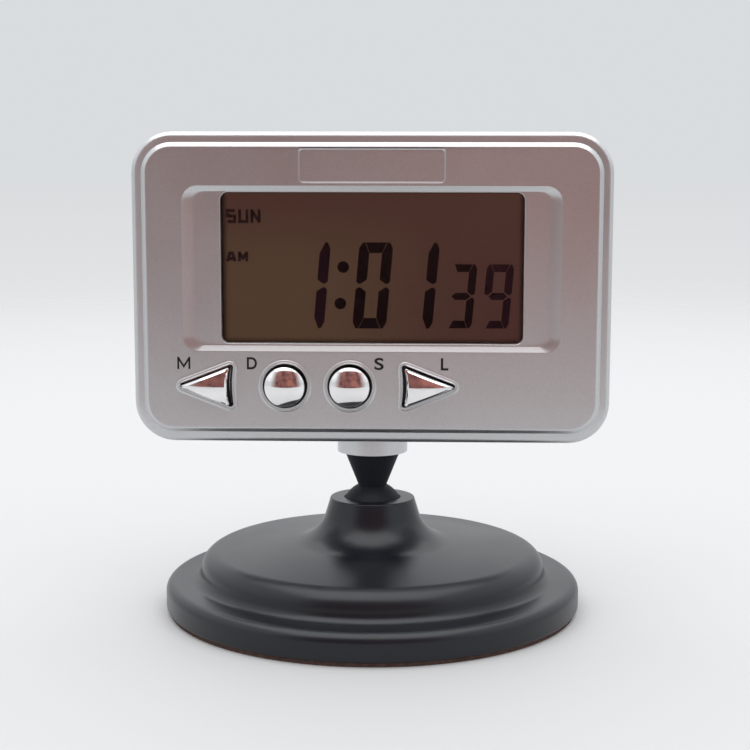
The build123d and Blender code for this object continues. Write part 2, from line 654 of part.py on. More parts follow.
# Liquid crystal cell: front pane with a contact ledge, rear pane above it
glass_w = WINDOW_W + 2 * GLASS_SIDE
glass_low = sill_z - GLASS_LEDGE
glass_high = sill_z + WINDOW_H + GLASS_TOP
pane_low = sill_z - PANE_SILL
with BuildPart() as lcd_panel:
    blocks([(0, (glass_low + glass_high) / 2)], glass_w, glass_high - glass_low, glass_y, pane_y)
    blocks([(0, (pane_low + glass_high) / 2)], glass_w, glass_high - pane_low, pane_y, light_y)
lcd_panel.part.label = "lcd_panel"
export_step(lcd_panel.part, "parts/lcd_panel.step")

light_w = WINDOW_W + 2 * LIGHT_SIDE
with BuildPart() as light_guide:
    blocks([(0, (pane_low + glass_high) / 2)], light_w, glass_high - pane_low, light_y, film_y)
light_guide.part.label = "light_guide"
export_step(light_guide.part, "parts/light_guide.step")

with BuildPart() as reflector_film:
    blocks([(0, (pane_low + glass_high) / 2)], glass_w, glass_high - pane_low, film_y, board_y)
reflector_film.part.label = "reflector_film"
export_step(reflector_film.part, "parts/reflector_film.step")

# A light at each end of the guide
with BuildPart() as backlight_leds:
    blocks([(side * (light_w + LED_W) / 2, window_z) for side in (-1, 1)], LED_W, LED_H,
           light_y, film_y)
backlight_leds.part.label = "backlight_leds"
export_step(backlight_leds.part, "parts/backlight_leds.step")

# Conductive strip from the glass ledge to the board
with BuildPart() as zebra_strip:
    blocks([(0, glass_low + ZEBRA_H / 2)], ZEBRA_W, ZEBRA_H, pane_y, board_y)
zebra_strip.part.label = "zebra_strip"
export_step(zebra_strip.part, "parts/zebra_strip.step")

# Frame that holds the display stack on the board
with BuildPart() as lcd_holder:
    grow = HOLDER_FIT + HOLDER_WALL
    blocks([(0, (glass_low + glass_high) / 2)], glass_w + 2 * grow,
           glass_high - glass_low + 2 * grow, glass_y, board_y)
    blocks([(0, (glass_low + glass_high) / 2)], glass_w + 2 * HOLDER_FIT,
           glass_high - glass_low + 2 * HOLDER_FIT, glass_y, board_y, mode=Mode.SUBTRACT)
lcd_holder.part.label = "lcd_holder"
export_step(lcd_holder.part, "parts/lcd_holder.step")

# Circuit board over the stem screw, narrowed between the screw bosses
board_low = stem_head_z + STEM_HEAD_H + BOARD_FOOT_GAP
board_high = head_top - WALL - BOARD_TOP_GAP
shoulder_low = screw_low + BOARD_HOLD
shoulder_high = screw_high - BOARD_HOLD
button_spots = [(arrow_switch_x[0], button_z), (ROUND_X[0], button_z), (ROUND_X[1], button_z),
                (arrow_switch_x[1], button_z)]
with BuildPart() as main_board:
    blocks([(0, (board_low + board_high) / 2)], 2 * (screw_x - BOARD_HOLD),
           board_high - board_low, board_y, board_back_y)
    blocks([(0, (shoulder_low + shoulder_high) / 2)], HEAD_W - 2 * (WALL + BOARD_SIDE_GAP),
           shoulder_high - shoulder_low, board_y, board_back_y)
    posts(post_spots, BOARD_SHANK_R, board_y, board_back_y, mode=Mode.SUBTRACT)
main_board.part.label = "main_board"
export_step(main_board.part, "parts/main_board.step")

with BuildPart() as board_screws:
    posts(post_spots, BOARD_SHANK_R, board_back_y - BOARD_SCREW_L, board_back_y)
    posts(post_spots, BOARD_HEAD_R, board_back_y, board_back_y + BOARD_HEAD_H)
board_screws.part.label = "board_screws"
export_step(board_screws.part, "parts/board_screws.step")

# Key switches on the front of the board, one behind each button
with BuildPart() as switch_bodies:
    blocks(button_spots, SWITCH_W, SWITCH_W, switch_y, board_y)
    posts(button_spots, PIN_R + PIN_FIT, switch_y, switch_y + SWITCH_WELL_D, mode=Mode.SUBTRACT)
switch_bodies.part.label = "switch_bodies"
export_step(switch_bodies.part, "parts/switch_bodies.step")

# Parts on the back of the board
chip_spot = (CHIP_AT[0], window_z + CHIP_AT[1])
with BuildPart() as controller_chip:
    chip_ball_r = (CHIP_R**2 + CHIP_H**2) / (2 * CHIP_H)
    posts([chip_spot], CHIP_R, board_back_y, board_back_y + CHIP_H)
    with Locations((chip_spot[0], board_back_y + CHIP_H - chip_ball_r, chip_spot[1])):
        Sphere(chip_ball_r, mode=Mode.INTERSECT)
controller_chip.part.label = "controller_chip"
export_step(controller_chip.part, "parts/controller_chip.step")

crystal_spot = (CRYSTAL_AT[0], board_back_y + CRYSTAL_R, window_z + CRYSTAL_AT[1])
with BuildPart() as quartz_crystal:
    with Locations(crystal_spot):
        Cylinder(CRYSTAL_R, CRYSTAL_L, rotation=(0, 90, 0))
quartz_crystal.part.label = "quartz_crystal"
export_step(quartz_crystal.part, "parts/quartz_crystal.step")

with BuildPart() as capacitors:
    posts([(CAN_AT[0], window_z + CAN_AT[1])], CAN_R, board_back_y, board_back_y + CAN_H)
    blocks([(CHIP_CAP_AT[0] - n * CHIP_CAP_STEP, window_z + CHIP_CAP_AT[1])
            for n in range(CHIP_CAPS)],
           CHIP_CAP_W, CHIP_CAP_L, board_back_y, board_back_y + CHIP_CAP_H)
capacitors.part.label = "capacitors"
export_step(capacitors.part, "parts/capacitors.step")

with BuildPart() as sounder:
    posts([sounder_spot], SOUNDER_R, board_back_y, board_back_y + SOUNDER_H)
    posts([sounder_spot], SOUNDER_PORT_R, board_back_y + SOUNDER_H - SOUNDER_PORT_D,
          board_back_y + SOUNDER_H, mode=Mode.SUBTRACT)
sounder.part.label = "sounder"
export_step(sounder.part, "parts/sounder.step")

# Button caps: shown cap, flange behind the face, stem to the switch pin
flange_y = inner_y + CAP_PLAY
cap_front_y = face_y - BUTTON_PROUD
round_cap_r = ROUND_HOLE_R - ROUND_GAP
dome_ball_r = (round_cap_r**2 + DOME_H**2) / (2 * DOME_H)
for x, name in zip(ROUND_X, ("round_button_left", "round_button_right")):
    with BuildPart() as cap:
        posts([(x, button_z)], round_cap_r, cap_front_y, flange_y)
        with Locations((x, cap_front_y + dome_ball_r, button_z)):
            Sphere(dome_ball_r, mode=Mode.INTERSECT)
        posts([(x, button_z)], round_cap_r, cap_front_y + DOME_H, flange_y)
        posts([(x, button_z)], round_cap_r + FLANGE_W, flange_y, flange_y + FLANGE_T)
        posts([(x, button_z)], CAP_STEM_R, flange_y + FLANGE_T, pin_y)
    cap.part.label = name
    export_step(cap.part, f"parts/{name}.step")

for base_x, point, switch_x, name in zip(ARROW_BASE_X, (-1, 1), arrow_switch_x,
                                         ("left_arrow_button", "right_arrow_button")):
    with BuildPart() as cap:
        with BuildSketch(at_y(flange_y)):
            arrow_outline(base_x, point, -ARROW_GAP, ARROW_SET)
        extrude(amount=flange_y - cap_front_y)
        chamfer(faces().sort_by(Axis.Y)[0].edges(), ARROW_BEVEL)
        with BuildSketch(at_y(flange_y + FLANGE_T)):
            arrow_outline(base_x, point, FLANGE_W - ARROW_GAP)
        extrude(amount=FLANGE_T)
        posts([(switch_x, button_z)], CAP_STEM_R, flange_y + FLANGE_T, pin_y)
    cap.part.label = name
    export_step(cap.part, f"parts/{name}.step")

# Switch pins, one in the well of each switch
pin_back_y = switch_y + SWITCH_WELL_D - PIN_FLOOR_GAP - BUTTON_TRAVEL
for spot, name in zip(button_spots, ("left_arrow_pin", "round_left_pin", "round_right_pin",
                                     "right_arrow_pin")):
    with BuildPart() as pin:
        posts([spot], PIN_R, pin_y, pin_back_y)
    pin.part.label = name
    export_step(pin.part, f"parts/{name}.step")
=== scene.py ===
from math import atan2, cos, pi, radians, sin, sqrt, tan

import bmesh
import bpy
from mathutils import Matrix, Vector


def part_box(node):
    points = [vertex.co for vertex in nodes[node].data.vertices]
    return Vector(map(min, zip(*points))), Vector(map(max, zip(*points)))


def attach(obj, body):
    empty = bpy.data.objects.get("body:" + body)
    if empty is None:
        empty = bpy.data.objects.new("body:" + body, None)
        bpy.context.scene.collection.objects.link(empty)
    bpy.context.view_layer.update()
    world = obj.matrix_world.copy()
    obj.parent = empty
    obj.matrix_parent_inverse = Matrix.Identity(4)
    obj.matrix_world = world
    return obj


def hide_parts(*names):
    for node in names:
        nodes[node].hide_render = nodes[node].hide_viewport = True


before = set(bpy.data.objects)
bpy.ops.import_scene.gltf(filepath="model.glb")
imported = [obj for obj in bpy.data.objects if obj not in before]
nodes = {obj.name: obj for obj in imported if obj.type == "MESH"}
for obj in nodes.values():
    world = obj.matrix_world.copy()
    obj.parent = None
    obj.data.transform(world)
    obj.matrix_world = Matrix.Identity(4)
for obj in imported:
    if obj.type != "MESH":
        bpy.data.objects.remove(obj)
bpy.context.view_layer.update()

# Lengths below are in millimetres, and MM turns them into the frame's metres
MM = 0.001

# Camera, at the photograph's viewing angle
PHOTO_PX = 750
SENSOR = 36.0
FOCAL_PX = 1538.5        # focal length of the photograph
AXIS_PX = 372.6          # where its optical axis meets the picture, across
CAMERA_AT = (9.0, -269.85, 78.2)
CAMERA_PITCH = 7.73      # degrees down
CAMERA_TURN = 1.91       # degrees towards -X
CAMERA_ROLL = 0.08
CAMERA_CLIP = 10         # nothing nearer is drawn

# Studio: pale floor, overhead softbox, and a warm dark card behind the camera
FLOOR_R, FLOOR_STEPS = 3000, 96
FLOOR_FADE = (0.25, 0.9)  # metres, between which the floor blends into the background
FLOOR_COLOR = (0.495, 0.495, 0.497)
BACKGROUND_FROM, BACKGROUND_TO = -0.16, 1   # height of the gradient's two ends
# Stops of the gradient: share of the way up, colour
BACKGROUND = ((0, (0.85, 0.852, 0.852)), (0.034, (0.825, 0.828, 0.83)),
              (0.06, (0.785, 0.79, 0.795)), (0.086, (0.745, 0.755, 0.762)),
              (0.112, (0.715, 0.73, 0.742)), (0.138, (0.694, 0.716, 0.73)),
              (0.228, (0.694, 0.716, 0.73)), (0.31, (0.86, 0.875, 0.89)),
              (0.48, (1.06, 1.07, 1.09)), (1, (1.06, 1.07, 1.09)))
CARD_Y, CARD_W, CARD_H = -310, 780, 430
CARD_FOOT = 1            # its lower edge, over the floor
CARD_SIDE_SOFT, CARD_TOP_SOFT = 240, 110   # faded borders of the card
CARD_DARK, CARD_WARM = (0.07, 0.02, 0.025), (0.34, 0.125, 0.095)
SOFTBOX_AT, SOFTBOX_TARGET = (0, -90, 750), (0, -89, 0)
SOFTBOX_SIZE, SOFTBOX_POWER = (1100, 1900), 10.3

# Front case, read from the frame where the frame has it
CORNER_R = 7.0
WALL = 1.8
FACE_T = 2.2
TONGUE_T, TONGUE_L = 0.8, 1.25
SEAM_ROUND = 0.1         # where it meets the rear case
LIP_BACK = 0.7           # the rim stands behind the face
LIP_FALL, LIP_ROUND = 0.2, 0.95   # the rim's front falls away to the outside
LIP_VALLEY = 0.15        # rounding between the rim and the face's bevel
PANEL_INSET, FACE_BEVEL = 1.8, 0.65
SOFT_EDGE = 0.14         # small roundings of the moulding
FACE_EDGE = 0.6          # rounding where the raised face begins
SUPPORT = 0.08           # flat strip beside each rounding of the face
HOLE_LIP_W, HOLE_LIP_H = 0.8, 0.15
HOLE_STEP = 0.03         # from the bead down to the hole's wall
LENS_RIM = 1.2           # flange of the window behind the face
WINDOW_CORNER = 1.4
DISH_SIDE, DISH_TOP, DISH_LOW, DISH_CORNER = 6.3, 0.95, 1.33, 2.7
DISH_D, DISH_ROUND = 0.55, 0.3
DISH_SIDE_W = 2.6        # the dish eases out of its sides over this width
DISH_STEEP_W, DISH_STEEP_D = 1.0, 0.525   # steep part of its lower slope
DISH_REST, REST_CORNER = 0.18, 1.6   # flat strip between the slopes and the window
OPENING_LEFT, OPENING_TOP = 0.25, 0.12   # the opening's edges, inside the window's
OPENING_ROUND = 0.12
BADGE_W, BADGE_H, BADGE_X = 25.0, 5.98, 0.1
BADGE_DROP = 2.68        # under the case top
BADGE_D, BADGE_SLOPE, BADGE_CORNER = 0.12, 0.32, 0.9
BADGE_ROUND = 0.04
BADGE_OUTER, BADGE_INNER = 0.06, 0.1   # flat strips outside and inside its slope
RING_GAP = 0.01          # keeps rings and skins from touching

# Foot shell, a body of revolution
SKIRT_WALL = 2.0
LEDGE_Z = 5.45
RIM_TOP_ROUND, RIM_FOOT_ROUND = 1.75, 0.6
DRUM_R, DRUM_LEAN = 30.3, 0.5
DRUM_WALL = 2.2
DRUM_ROUND, DRUM_FOOT_ROUND = 3.5, 1.7
DECK_Z, DECK_SLOPE = 10.25, 0.1
PLATE_TOP, CAVITY_TOP = 3.2, 8.9
COLLAR_R, COLLAR_LEAN, COLLAR_ROUND = 7.45, 0.31, 0.25
TRUMPET_R = 7.0
BALL_Z, SOCKET_R = 16.88, 5.68
BORE_R, MOUTH_LIP = 6.4, 0.7
MOUTH_ROUND = 0.1

# Buttons
BUTTON_RISE = 9.9        # centre line over the case bottom
ROUND_X = (-14.8, -3.65)
ROUND_HOLE_R = 3.85
ROUND_CAP_R = 3.45
DOME_H, DOME_EDGE = 1.0, 0.22
ARROW_BASE_X = (-23.6, 5.12)
ARROW_L, ARROW_HALF = 10.2, 3.95
ARROW_CORNER, ARROW_BOW = 0.5, 0.4
ARROW_SEAT = 3.3         # stem, from the short side
CAP_GAP = 0.3
CAP_SET = 0.35           # wider gap at the arrow's short side
CAP_BEVEL, CAP_BEVEL_D = 0.36, 0.34
CAP_BEVEL_ROUNDS = (0.1, 0.06)   # at its foot and at the face
CAP_REST = 0.1           # flat strip inside the bevel
CAP_SIDE_H = 1.2
CROWN_RX, CROWN_RZ = 16.0, 10.0   # crown of the arrow's face, across and up
CROWN_AT = 0.33          # its top, per arrow length
CROWN_STEP = 0.35        # points along the arrow's sides
CROWN_FIRST, CROWN_SHRINK = 0.92, 0.1   # the rings inside the face, as shares of it
CAP_FLANGE_W, CAP_FLANGE_T, CAP_FLANGE_ROUND = 0.75, 0.8, 0.1
CAP_FLANGE_FREE = 0.1    # behind the face's back
CAP_STEM_R, CAP_STEM_AT = 1.6, 0.5   # the stem starts behind the face's back
STEM_NOSE, STEM_NOSE_R = 0.2, 0.9   # tapered end over the switch pin
STEM_SHORT = 0.02        # short of the solid's end
# Dark sheets in the button holes: painted shade in the gaps round the caps
SHADE_SHEET_T = 0.05          # dark lining inside each hole
SHADE_SHEET_TOP = 0.3         # under the face
SHADE_SHEET_FREE = 0.04       # clear of the cap

# Display: digit, stroke, left, bottom, right and top of each slanted digit
SLANT = 5.0              # degrees
BIG_T, SMALL_T = 1.82, 1.34
DIGITS = (
    ("1", BIG_T, -14.0, 50.43, -6.96, 65.26),
    ("0", BIG_T, -3.36, 50.43, 3.76, 65.26),
    ("1", BIG_T, 4.72, 50.43, 11.73, 65.26),
    ("3", SMALL_T, 12.5, 50.53, 18.18, 61.58),
    ("9", SMALL_T, 18.82, 50.53, 24.49, 61.58),
)
COLON = ((-4.88, 61.02), (-5.39, 54.74))
COLON_R, COLON_STEPS = 1.0, 40
FAINT_PLACES = (0, 4)    # of the digits
HAIRLINE = 0.05          # half of the gap between two segments
# Painted glow of the display: it is no lamp, and this emission stands in for the light that
# reaches it through the window
GLOW_LEFT = (0.068, 0.039, 0.0225)
GLOW_RIGHT = (0.0525, 0.0215, 0.0175)
GLOW_TOP = (0.0545, 0.0245, 0.018)
GLOW_ACROSS, GLOW_UP = (-14, 22), (60, 74)   # where the colours run into each other
# Painted shade at the display's edges, where the window's opening shades it
EDGE_SHADES = {"left": (0.1, 1.5), "right": (-0.1, 1.0), "top": (-0.2, 0.5),
               "bottom": (-0.3, 1.0)}   # dark and clear, inside each edge
INK_T = 0.03             # segments stand this proud of the glass
SEGMENTS = {"0": "abcdef", "1": "bc", "3": "abcdg", "9": "abcdfg"}
WORD_STROKE = 0.54
WORDS = (
    # word, left, bottom, letter width, letter height, step
    ("SUN", -24.75, 68.75, 1.25, 1.88, 2.1),
    ("AM", -24.8, 62.12, 1.25, 1.3, 2.05),
)
BLOCK_LETTERS = {        # strokes, per letter width and height
    "S": [[(1, 1), (0, 1), (0, 0.5), (1, 0.5), (1, 0), (0, 0)]],
    "U": [[(0, 1.12), (0, 0), (1, 0), (1, 1.12)]],
    "N": [[(0, -0.12), (0, 1.12)], [(0.05, 0.95), (0.95, 0.05)], [(1, -0.12), (1, 1.12)]],
    "A": [[(-0.05, -0.15), (0.4, 1.15)], [(0.6, 1.15), (1.05, -0.15)],
          [(0.25, 0.2), (0.75, 0.2)]],
    "M": [[(0, -0.15), (0, 1.15)], [(0, 1), (0.5, 0.3), (1, 1)], [(1, -0.15), (1, 1.15)]],
}

# Letters printed over the buttons: letter, centre across, width
LEGENDS = (("D", -20.48, 1.75), ("S", 1.38, 1.6), ("L", 12.61, 1.3))
M_X, M_W, M_STROKE = -32.24, 2.25, 0.33   # the M is drawn in strokes
M_FOOT = 0.22            # lowest point of its middle, per letter height
LEGEND_Z, LEGEND_H = 44.6, 2.12
LEGEND_BOLD = 0.022      # stroke thickening, per letter height
LEGEND_T = 0.02

# Case screws, sunk in the back
SCREW_SHANK_R, SCREW_HEAD_R, SCREW_HEAD_H = 1.0, 1.8, 1.3
SCREW_TIP, SCREW_EDGE_ROUND, SCREW_HEAD_ROUND = 0.4, 0.1, 0.6
SCREW_SEED = 7           # for how far each one is turned
RECESS_W, RECESS_L, RECESS_D = 0.55, 2.3, 0.7

# Fineness of the meshes
SMALL_ARC_STEPS, ARC_STEPS, LIP_STEPS, FOOT_ARC_STEPS = 3, 5, 8, 14
CORNER_STEPS = 10
STEM_STEPS, SCREW_STEPS, DISC_STEPS, CAP_STEPS, TURN_STEPS = 32, 40, 72, 96, 180
DOME_STEPS, CROWN_RINGS = 16, 9
BEAD_STEPS = 12
MERGE = 0.001            # points nearer than this are one
SHARP_ANGLE = 40         # degrees, where two faces meet at an edge

# Places read from the frame, in millimetres
shell_low, shell_high = (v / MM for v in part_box("base_shell"))
front_low, front_high = (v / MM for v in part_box("front_case"))
lens_low, lens_high = (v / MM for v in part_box("display_window"))
glass_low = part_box("lcd_panel")[0] / MM
cap_low, cap_high = (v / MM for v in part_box("round_button_left"))
screws_low, screws_high = (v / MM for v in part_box("case_screws"))
head_w = front_high.x - front_low.x
head_h = front_high.z - front_low.z
head_mid = (front_high.z + front_low.z) / 2
face_y = front_low.y + HOLE_LIP_H
lip_y = face_y + LIP_BACK
inner_y = face_y + FACE_T
flange_y = inner_y + CAP_FLANGE_FREE
dish_y = face_y + DISH_D
window_z = (lens_low.z + lens_high.z) / 2
window_w = lens_high.x - lens_low.x - 2 * LENS_RIM
window_h = lens_high.z - lens_low.z - 2 * LENS_RIM
button_z = front_low.z + BUTTON_RISE


# Outlines. Each is a list of (across, up) points

def rounded_path(points, radii, steps=ARC_STEPS):
    """Open path through points, its inner corners rounded by arcs."""
    path = [Vector(points[0])]
    for before, corner, after, r in zip(points, points[1:], points[2:], radii):
        corner = Vector(corner)
        if r:
            path += corner_arc(Vector(before), corner, Vector(after), r, steps)
        else:
            path.append(corner)
    return path + [Vector(points[-1])]


def corner_arc(before, corner, after, r, steps):
    """Points of the arc that rounds one corner."""
    a = (before - corner).normalized()
    b = (after - corner).normalized()
    half = a.angle(b) / 2
    centre = corner + (a + b).normalized() * r / sin(half)
    start = corner + a * r / tan(half) - centre
    end = corner + b * r / tan(half) - centre
    sweep = start.angle(end)
    shares = [i / steps for i in range(steps + 1)]
    return [centre + (start * sin((1 - t) * sweep) + end * sin(t * sweep)) / sin(sweep)
            for t in shares]


def rounded_loop(points, radii, steps=ARC_STEPS):
    """Closed outline through points, its corners rounded by arcs."""
    count = len(points)
    loop = []
    for i, (corner, r) in enumerate(zip(points, radii)):
        corner = Vector(corner)
        if r:
            before, after = Vector(points[i - 1]), Vector(points[(i + 1) % count])
            loop += corner_arc(before, corner, after, r, steps)
        else:
            loop.append(corner)
    return loop


def rounded_rect(x, z, w, h, r):
    corners = ((1, 1), (-1, 1), (-1, -1), (1, -1))
    loop = []
    for quarter, (right, top) in enumerate(corners):
        for step in range(CORNER_STEPS + 1):
            angle = (quarter + step / CORNER_STEPS) * pi / 2
            loop.append((x + right * (w / 2 - r) + r * cos(angle),
                         z + top * (h / 2 - r) + r * sin(angle)))
    return loop


def circle(x, z, r, steps=DISC_STEPS):
    return [(x + r * cos(2 * pi * i / steps), z + r * sin(2 * pi * i / steps))
            for i in range(steps)]


def case_outline(inset):
    return rounded_rect(0, head_mid, head_w - 2 * inset, head_h - 2 * inset, CORNER_R - inset)


def arrow_corners(grow, short_in):
    """Arrow pointing right from its short side, with its sides moved out by grow."""
    slope = atan2(ARROW_HALF, ARROW_L)
    reach = ARROW_L + grow / sin(slope)
    start = short_in - grow
    half = (reach - start) * tan(slope)
    bow_r = (half**2 + ARROW_BOW**2) / (2 * ARROW_BOW)
    bow_centre = ARROW_BOW + start - bow_r
    bow_angle = atan2(half, bow_r - ARROW_BOW)
    bow = [bow_angle * (1 - 2 * i / (ARC_STEPS + 1)) for i in range(1, ARC_STEPS + 1)]
    points = [(start, -half), (reach, 0), (start, half)]
    points += [(bow_centre + bow_r * cos(a), bow_r * sin(a)) for a in bow]
    corner_r = ARROW_CORNER + grow
    radii = [corner_r] * 3 + [0] * ARC_STEPS
    return rounded_loop(points, radii)


def arrow_outline(base_x, point, grow, short_in=0):
    """Arrow pointing left (-1) or right (1), with points all along its sides."""
    plain, loop = arrow_corners(0, 0), arrow_corners(grow, short_in)
    outline = []
    for i, corner in enumerate(loop):
        parts = max(1, round((plain[i] - plain[i - 1]).length / CROWN_STEP))
        outline += [loop[i - 1].lerp(corner, (step + 1) / parts) for step in range(parts)]
    return [(base_x + point * p.x, button_z + p.y) for p in outline]


# Mesh making

def ring(bm, outline, y):
    return [bm.verts.new((x * MM, y * MM, z * MM)) for x, z in outline]


def bridge(bm, a, b):
    for i in range(len(a)):
        bm.faces.new((a[i - 1], a[i], b[i], b[i - 1]))


def loft(bm, rings):
    for a, b in zip(rings, rings[1:]):
        bridge(bm, a, b)
    return rings


def fill_flat(bm, rings):
    """Fills the flat field inside the first ring and outside the others."""
    edges = [bm.edges.get((r[i - 1], r[i])) or bm.edges.new((r[i - 1], r[i]))
             for r in rings for i in range(len(r))]
    bmesh.ops.triangle_fill(bm, use_beauty=True, edges=edges)


def finished_object(name, bm, material, smooth=True):
    bmesh.ops.recalc_face_normals(bm, faces=bm.faces)
    for face in bm.faces:
        face.smooth = smooth
    data = bpy.data.meshes.new(name)
    bm.to_mesh(data)
    bm.free()
    if smooth:
        data.set_sharp_from_angle(angle=radians(SHARP_ANGLE))
    data.materials.append(material)
    piece = bpy.data.objects.new(name, data)
    bpy.context.scene.collection.objects.link(piece)
    return piece


def place_piece(piece, body, slot, *replaced):
    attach(piece, body)
    if replaced:
        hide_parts(*replaced)


# Node trees

class Nodes:
    """A node tree, with short ways to add its nodes."""

    def __init__(self, tree):
        self.tree = tree

    def add(self, kind, sockets=None, **values):
        """New node. Sockets are set by name or place, to a value or another node's output."""
        node = self.tree.nodes.new(kind)
        for name, value in values.items():
            setattr(node, name, value)
        for name, value in (sockets or {}).items():
            if isinstance(value, bpy.types.NodeSocket):
                self.tree.links.new(value, node.inputs[name])
            else:
                node.inputs[name].default_value = value
        return node

    def math(self, operation, a, b=0.0):
        return self.add("ShaderNodeMath", {0: a, 1: b}, operation=operation).outputs[0]

    def vector(self, **axes):
        return self.add("ShaderNodeCombineXYZ", axes).outputs[0]


class Group(Nodes):
    """A node group. Its inputs and outputs are given as names and kinds of socket."""

    def __init__(self, name, kind, inputs, outputs):
        super().__init__(bpy.data.node_groups.new(name, kind))
        for in_out, sockets in (("INPUT", inputs), ("OUTPUT", outputs)):
            for label, socket in sockets.items():
                self.tree.interface.new_socket(label, in_out=in_out,
                                               socket_type="NodeSocket" + socket)
        self.given = self.tree.nodes.new("NodeGroupInput").outputs

    def end(self, **results):
        self.add("NodeGroupOutput", results)
        return self.tree

    def end_mesh(self, geometry):
        """Realizes the instances, sets the material and ends the tree."""
        real = self.add("GeometryNodeRealizeInstances", {"Geometry": geometry})
        coated = self.add("GeometryNodeSetMaterial",
                          {"Geometry": real.outputs[0], "Material": self.given["Material"]})
        return self.end(Geometry=coated.outputs[0])


# Geometry Nodes

def make_turning_tree():
    """Turns a profile of (radius, 0, height) points once about the Z axis."""
    tree = Group("turned_profile", "GeometryNodeTree",
                 {"Profile": "Geometry", "Steps": "Int", "Closed": "Int", "Merge": "Float",
                  "Material": "Material"}, {"Geometry": "Geometry"})
    given = tree.given
    count = tree.add("GeometryNodeAttributeDomainSize", {"Geometry": given["Profile"]}).outputs[0]
    rows = tree.math("ADD", count, given["Closed"])
    columns = tree.math("ADD", given["Steps"], 1.0)
    grid = tree.add("GeometryNodeMeshGrid", {"Vertices X": columns, "Vertices Y": rows})
    index = tree.add("GeometryNodeInputIndex").outputs[0]
    column = tree.math("FLOOR", tree.math("DIVIDE", index, rows))
    row = tree.math("SUBTRACT", index, tree.math("MULTIPLY", column, rows))
    point = tree.add("GeometryNodeSampleIndex", {
        "Geometry": given["Profile"], "Value": tree.add("GeometryNodeInputPosition").outputs[0],
        "Index": tree.math("MODULO", row, count)}, data_type="FLOAT_VECTOR")
    split = tree.add("ShaderNodeSeparateXYZ", {0: point.outputs[0]}).outputs
    angle = tree.math("DIVIDE", tree.math("MULTIPLY", column, 2 * pi), given["Steps"])
    turned = tree.vector(X=tree.math("MULTIPLY", split["X"], tree.math("COSINE", angle)),
                         Y=tree.math("MULTIPLY", split["X"], tree.math("SINE", angle)),
                         Z=split["Z"])
    moved = tree.add("GeometryNodeSetPosition",
                     {"Geometry": grid.outputs["Mesh"], "Position": turned})
    closed = tree.add("GeometryNodeMergeByDistance",
                      {"Geometry": moved.outputs[0], "Distance": given["Merge"]})
    return tree.end_mesh(closed.outputs[0])


def make_screw_tree(turning):
    """Four cross-recessed screws driven from behind, turned from one profile."""
    tree = Group("recessed_screws", "GeometryNodeTree",
                 {"Profile": "Geometry", "Steps": "Int", "Merge": "Float",
                  "Spread Across": "Float", "Spread Up": "Float", "Middle": "Vector",
                  "Head Top": "Float", "Recess Width": "Float", "Recess Length": "Float",
                  "Recess Depth": "Float", "Seed": "Int", "Material": "Material"},
                 {"Geometry": "Geometry"})
    given = tree.given
    blank = tree.add("GeometryNodeGroup", {name: given[name] for name in (
        "Profile", "Steps", "Merge", "Material")}, node_tree=turning)
    deep = tree.math("MULTIPLY", given["Recess Depth"], 2.0)
    across = tree.vector(X=given["Recess Length"], Y=given["Recess Width"], Z=deep)
    along = tree.vector(X=given["Recess Width"], Y=given["Recess Length"], Z=deep)
    lift = tree.vector(Z=given["Head Top"])
    recessed = tree.add("GeometryNodeMeshBoolean", {"Mesh 1": blank.outputs[0]},
                        operation="DIFFERENCE", solver="EXACT")
    for size in (across, along):
        bar = tree.add("GeometryNodeMeshCube", {"Size": size})
        raised = tree.add("GeometryNodeTransform",
                          {"Geometry": bar.outputs["Mesh"], "Translation": lift})
        tree.tree.links.new(raised.outputs[0], recessed.inputs["Mesh 2"])
    spots = tree.add("GeometryNodeMeshGrid", {
        "Size X": given["Spread Across"], "Size Y": given["Spread Up"], "Vertices X": 2,
        "Vertices Y": 2})
    upright = tree.add("GeometryNodeTransform", {
        "Geometry": spots.outputs["Mesh"], "Translation": given["Middle"],
        "Rotation": (-pi / 2, 0, 0)})
    placed = tree.add("GeometryNodeInstanceOnPoints", {
        "Points": upright.outputs[0], "Instance": recessed.outputs["Mesh"],
        "Rotation": (-pi / 2, 0, 0)})
    chance = tree.add("FunctionNodeRandomValue", {"Seed": given["Seed"]}, data_type="FLOAT")
    low, high = [socket for socket in chance.inputs if socket.enabled][:2]
    low.default_value, high.default_value = 0, pi / 2
    drawn = [socket for socket in chance.outputs if socket.enabled][0]
    spin = tree.add("FunctionNodeEulerToRotation", {0: tree.vector(Z=drawn)})
    driven = tree.add("GeometryNodeRotateInstances",
                      {"Instances": placed.outputs[0], "Rotation": spin.outputs[0]})
    return tree.end_mesh(driven.outputs[0])


def grow(profile, tree, **sizes):
    """Plain mesh that a tree makes of a profile of (radius, height) points."""
    seed = bpy.data.meshes.new("profile")
    seed.from_pydata([(r * MM, 0, z * MM) for r, z in profile], [], [])
    holder = bpy.data.objects.new("profile", seed)
    bpy.context.scene.collection.objects.link(holder)
    modifier = holder.modifiers.new(tree.name, "NODES")
    modifier.node_group = tree
    names = {item.name: item.identifier for item in tree.interface.items_tree
             if item.item_type == "SOCKET" and item.in_out == "INPUT"}
    for name, value in sizes.items():
        modifier[names[name.replace("_", " ")]] = value
    graph = bpy.context.evaluated_depsgraph_get()
    shape = bpy.data.meshes.new_from_object(holder.evaluated_get(graph), depsgraph=graph)
    holder.modifiers.remove(modifier)
    bpy.data.objects.remove(holder)
    bm = bmesh.new()
    bm.from_mesh(shape)
    return bm


TURNING = make_turning_tree()
SCREWS = make_screw_tree(TURNING)


# Shader node groups

MASK_SPAN = (0.3, 0.7)    # the part of a noise that is used


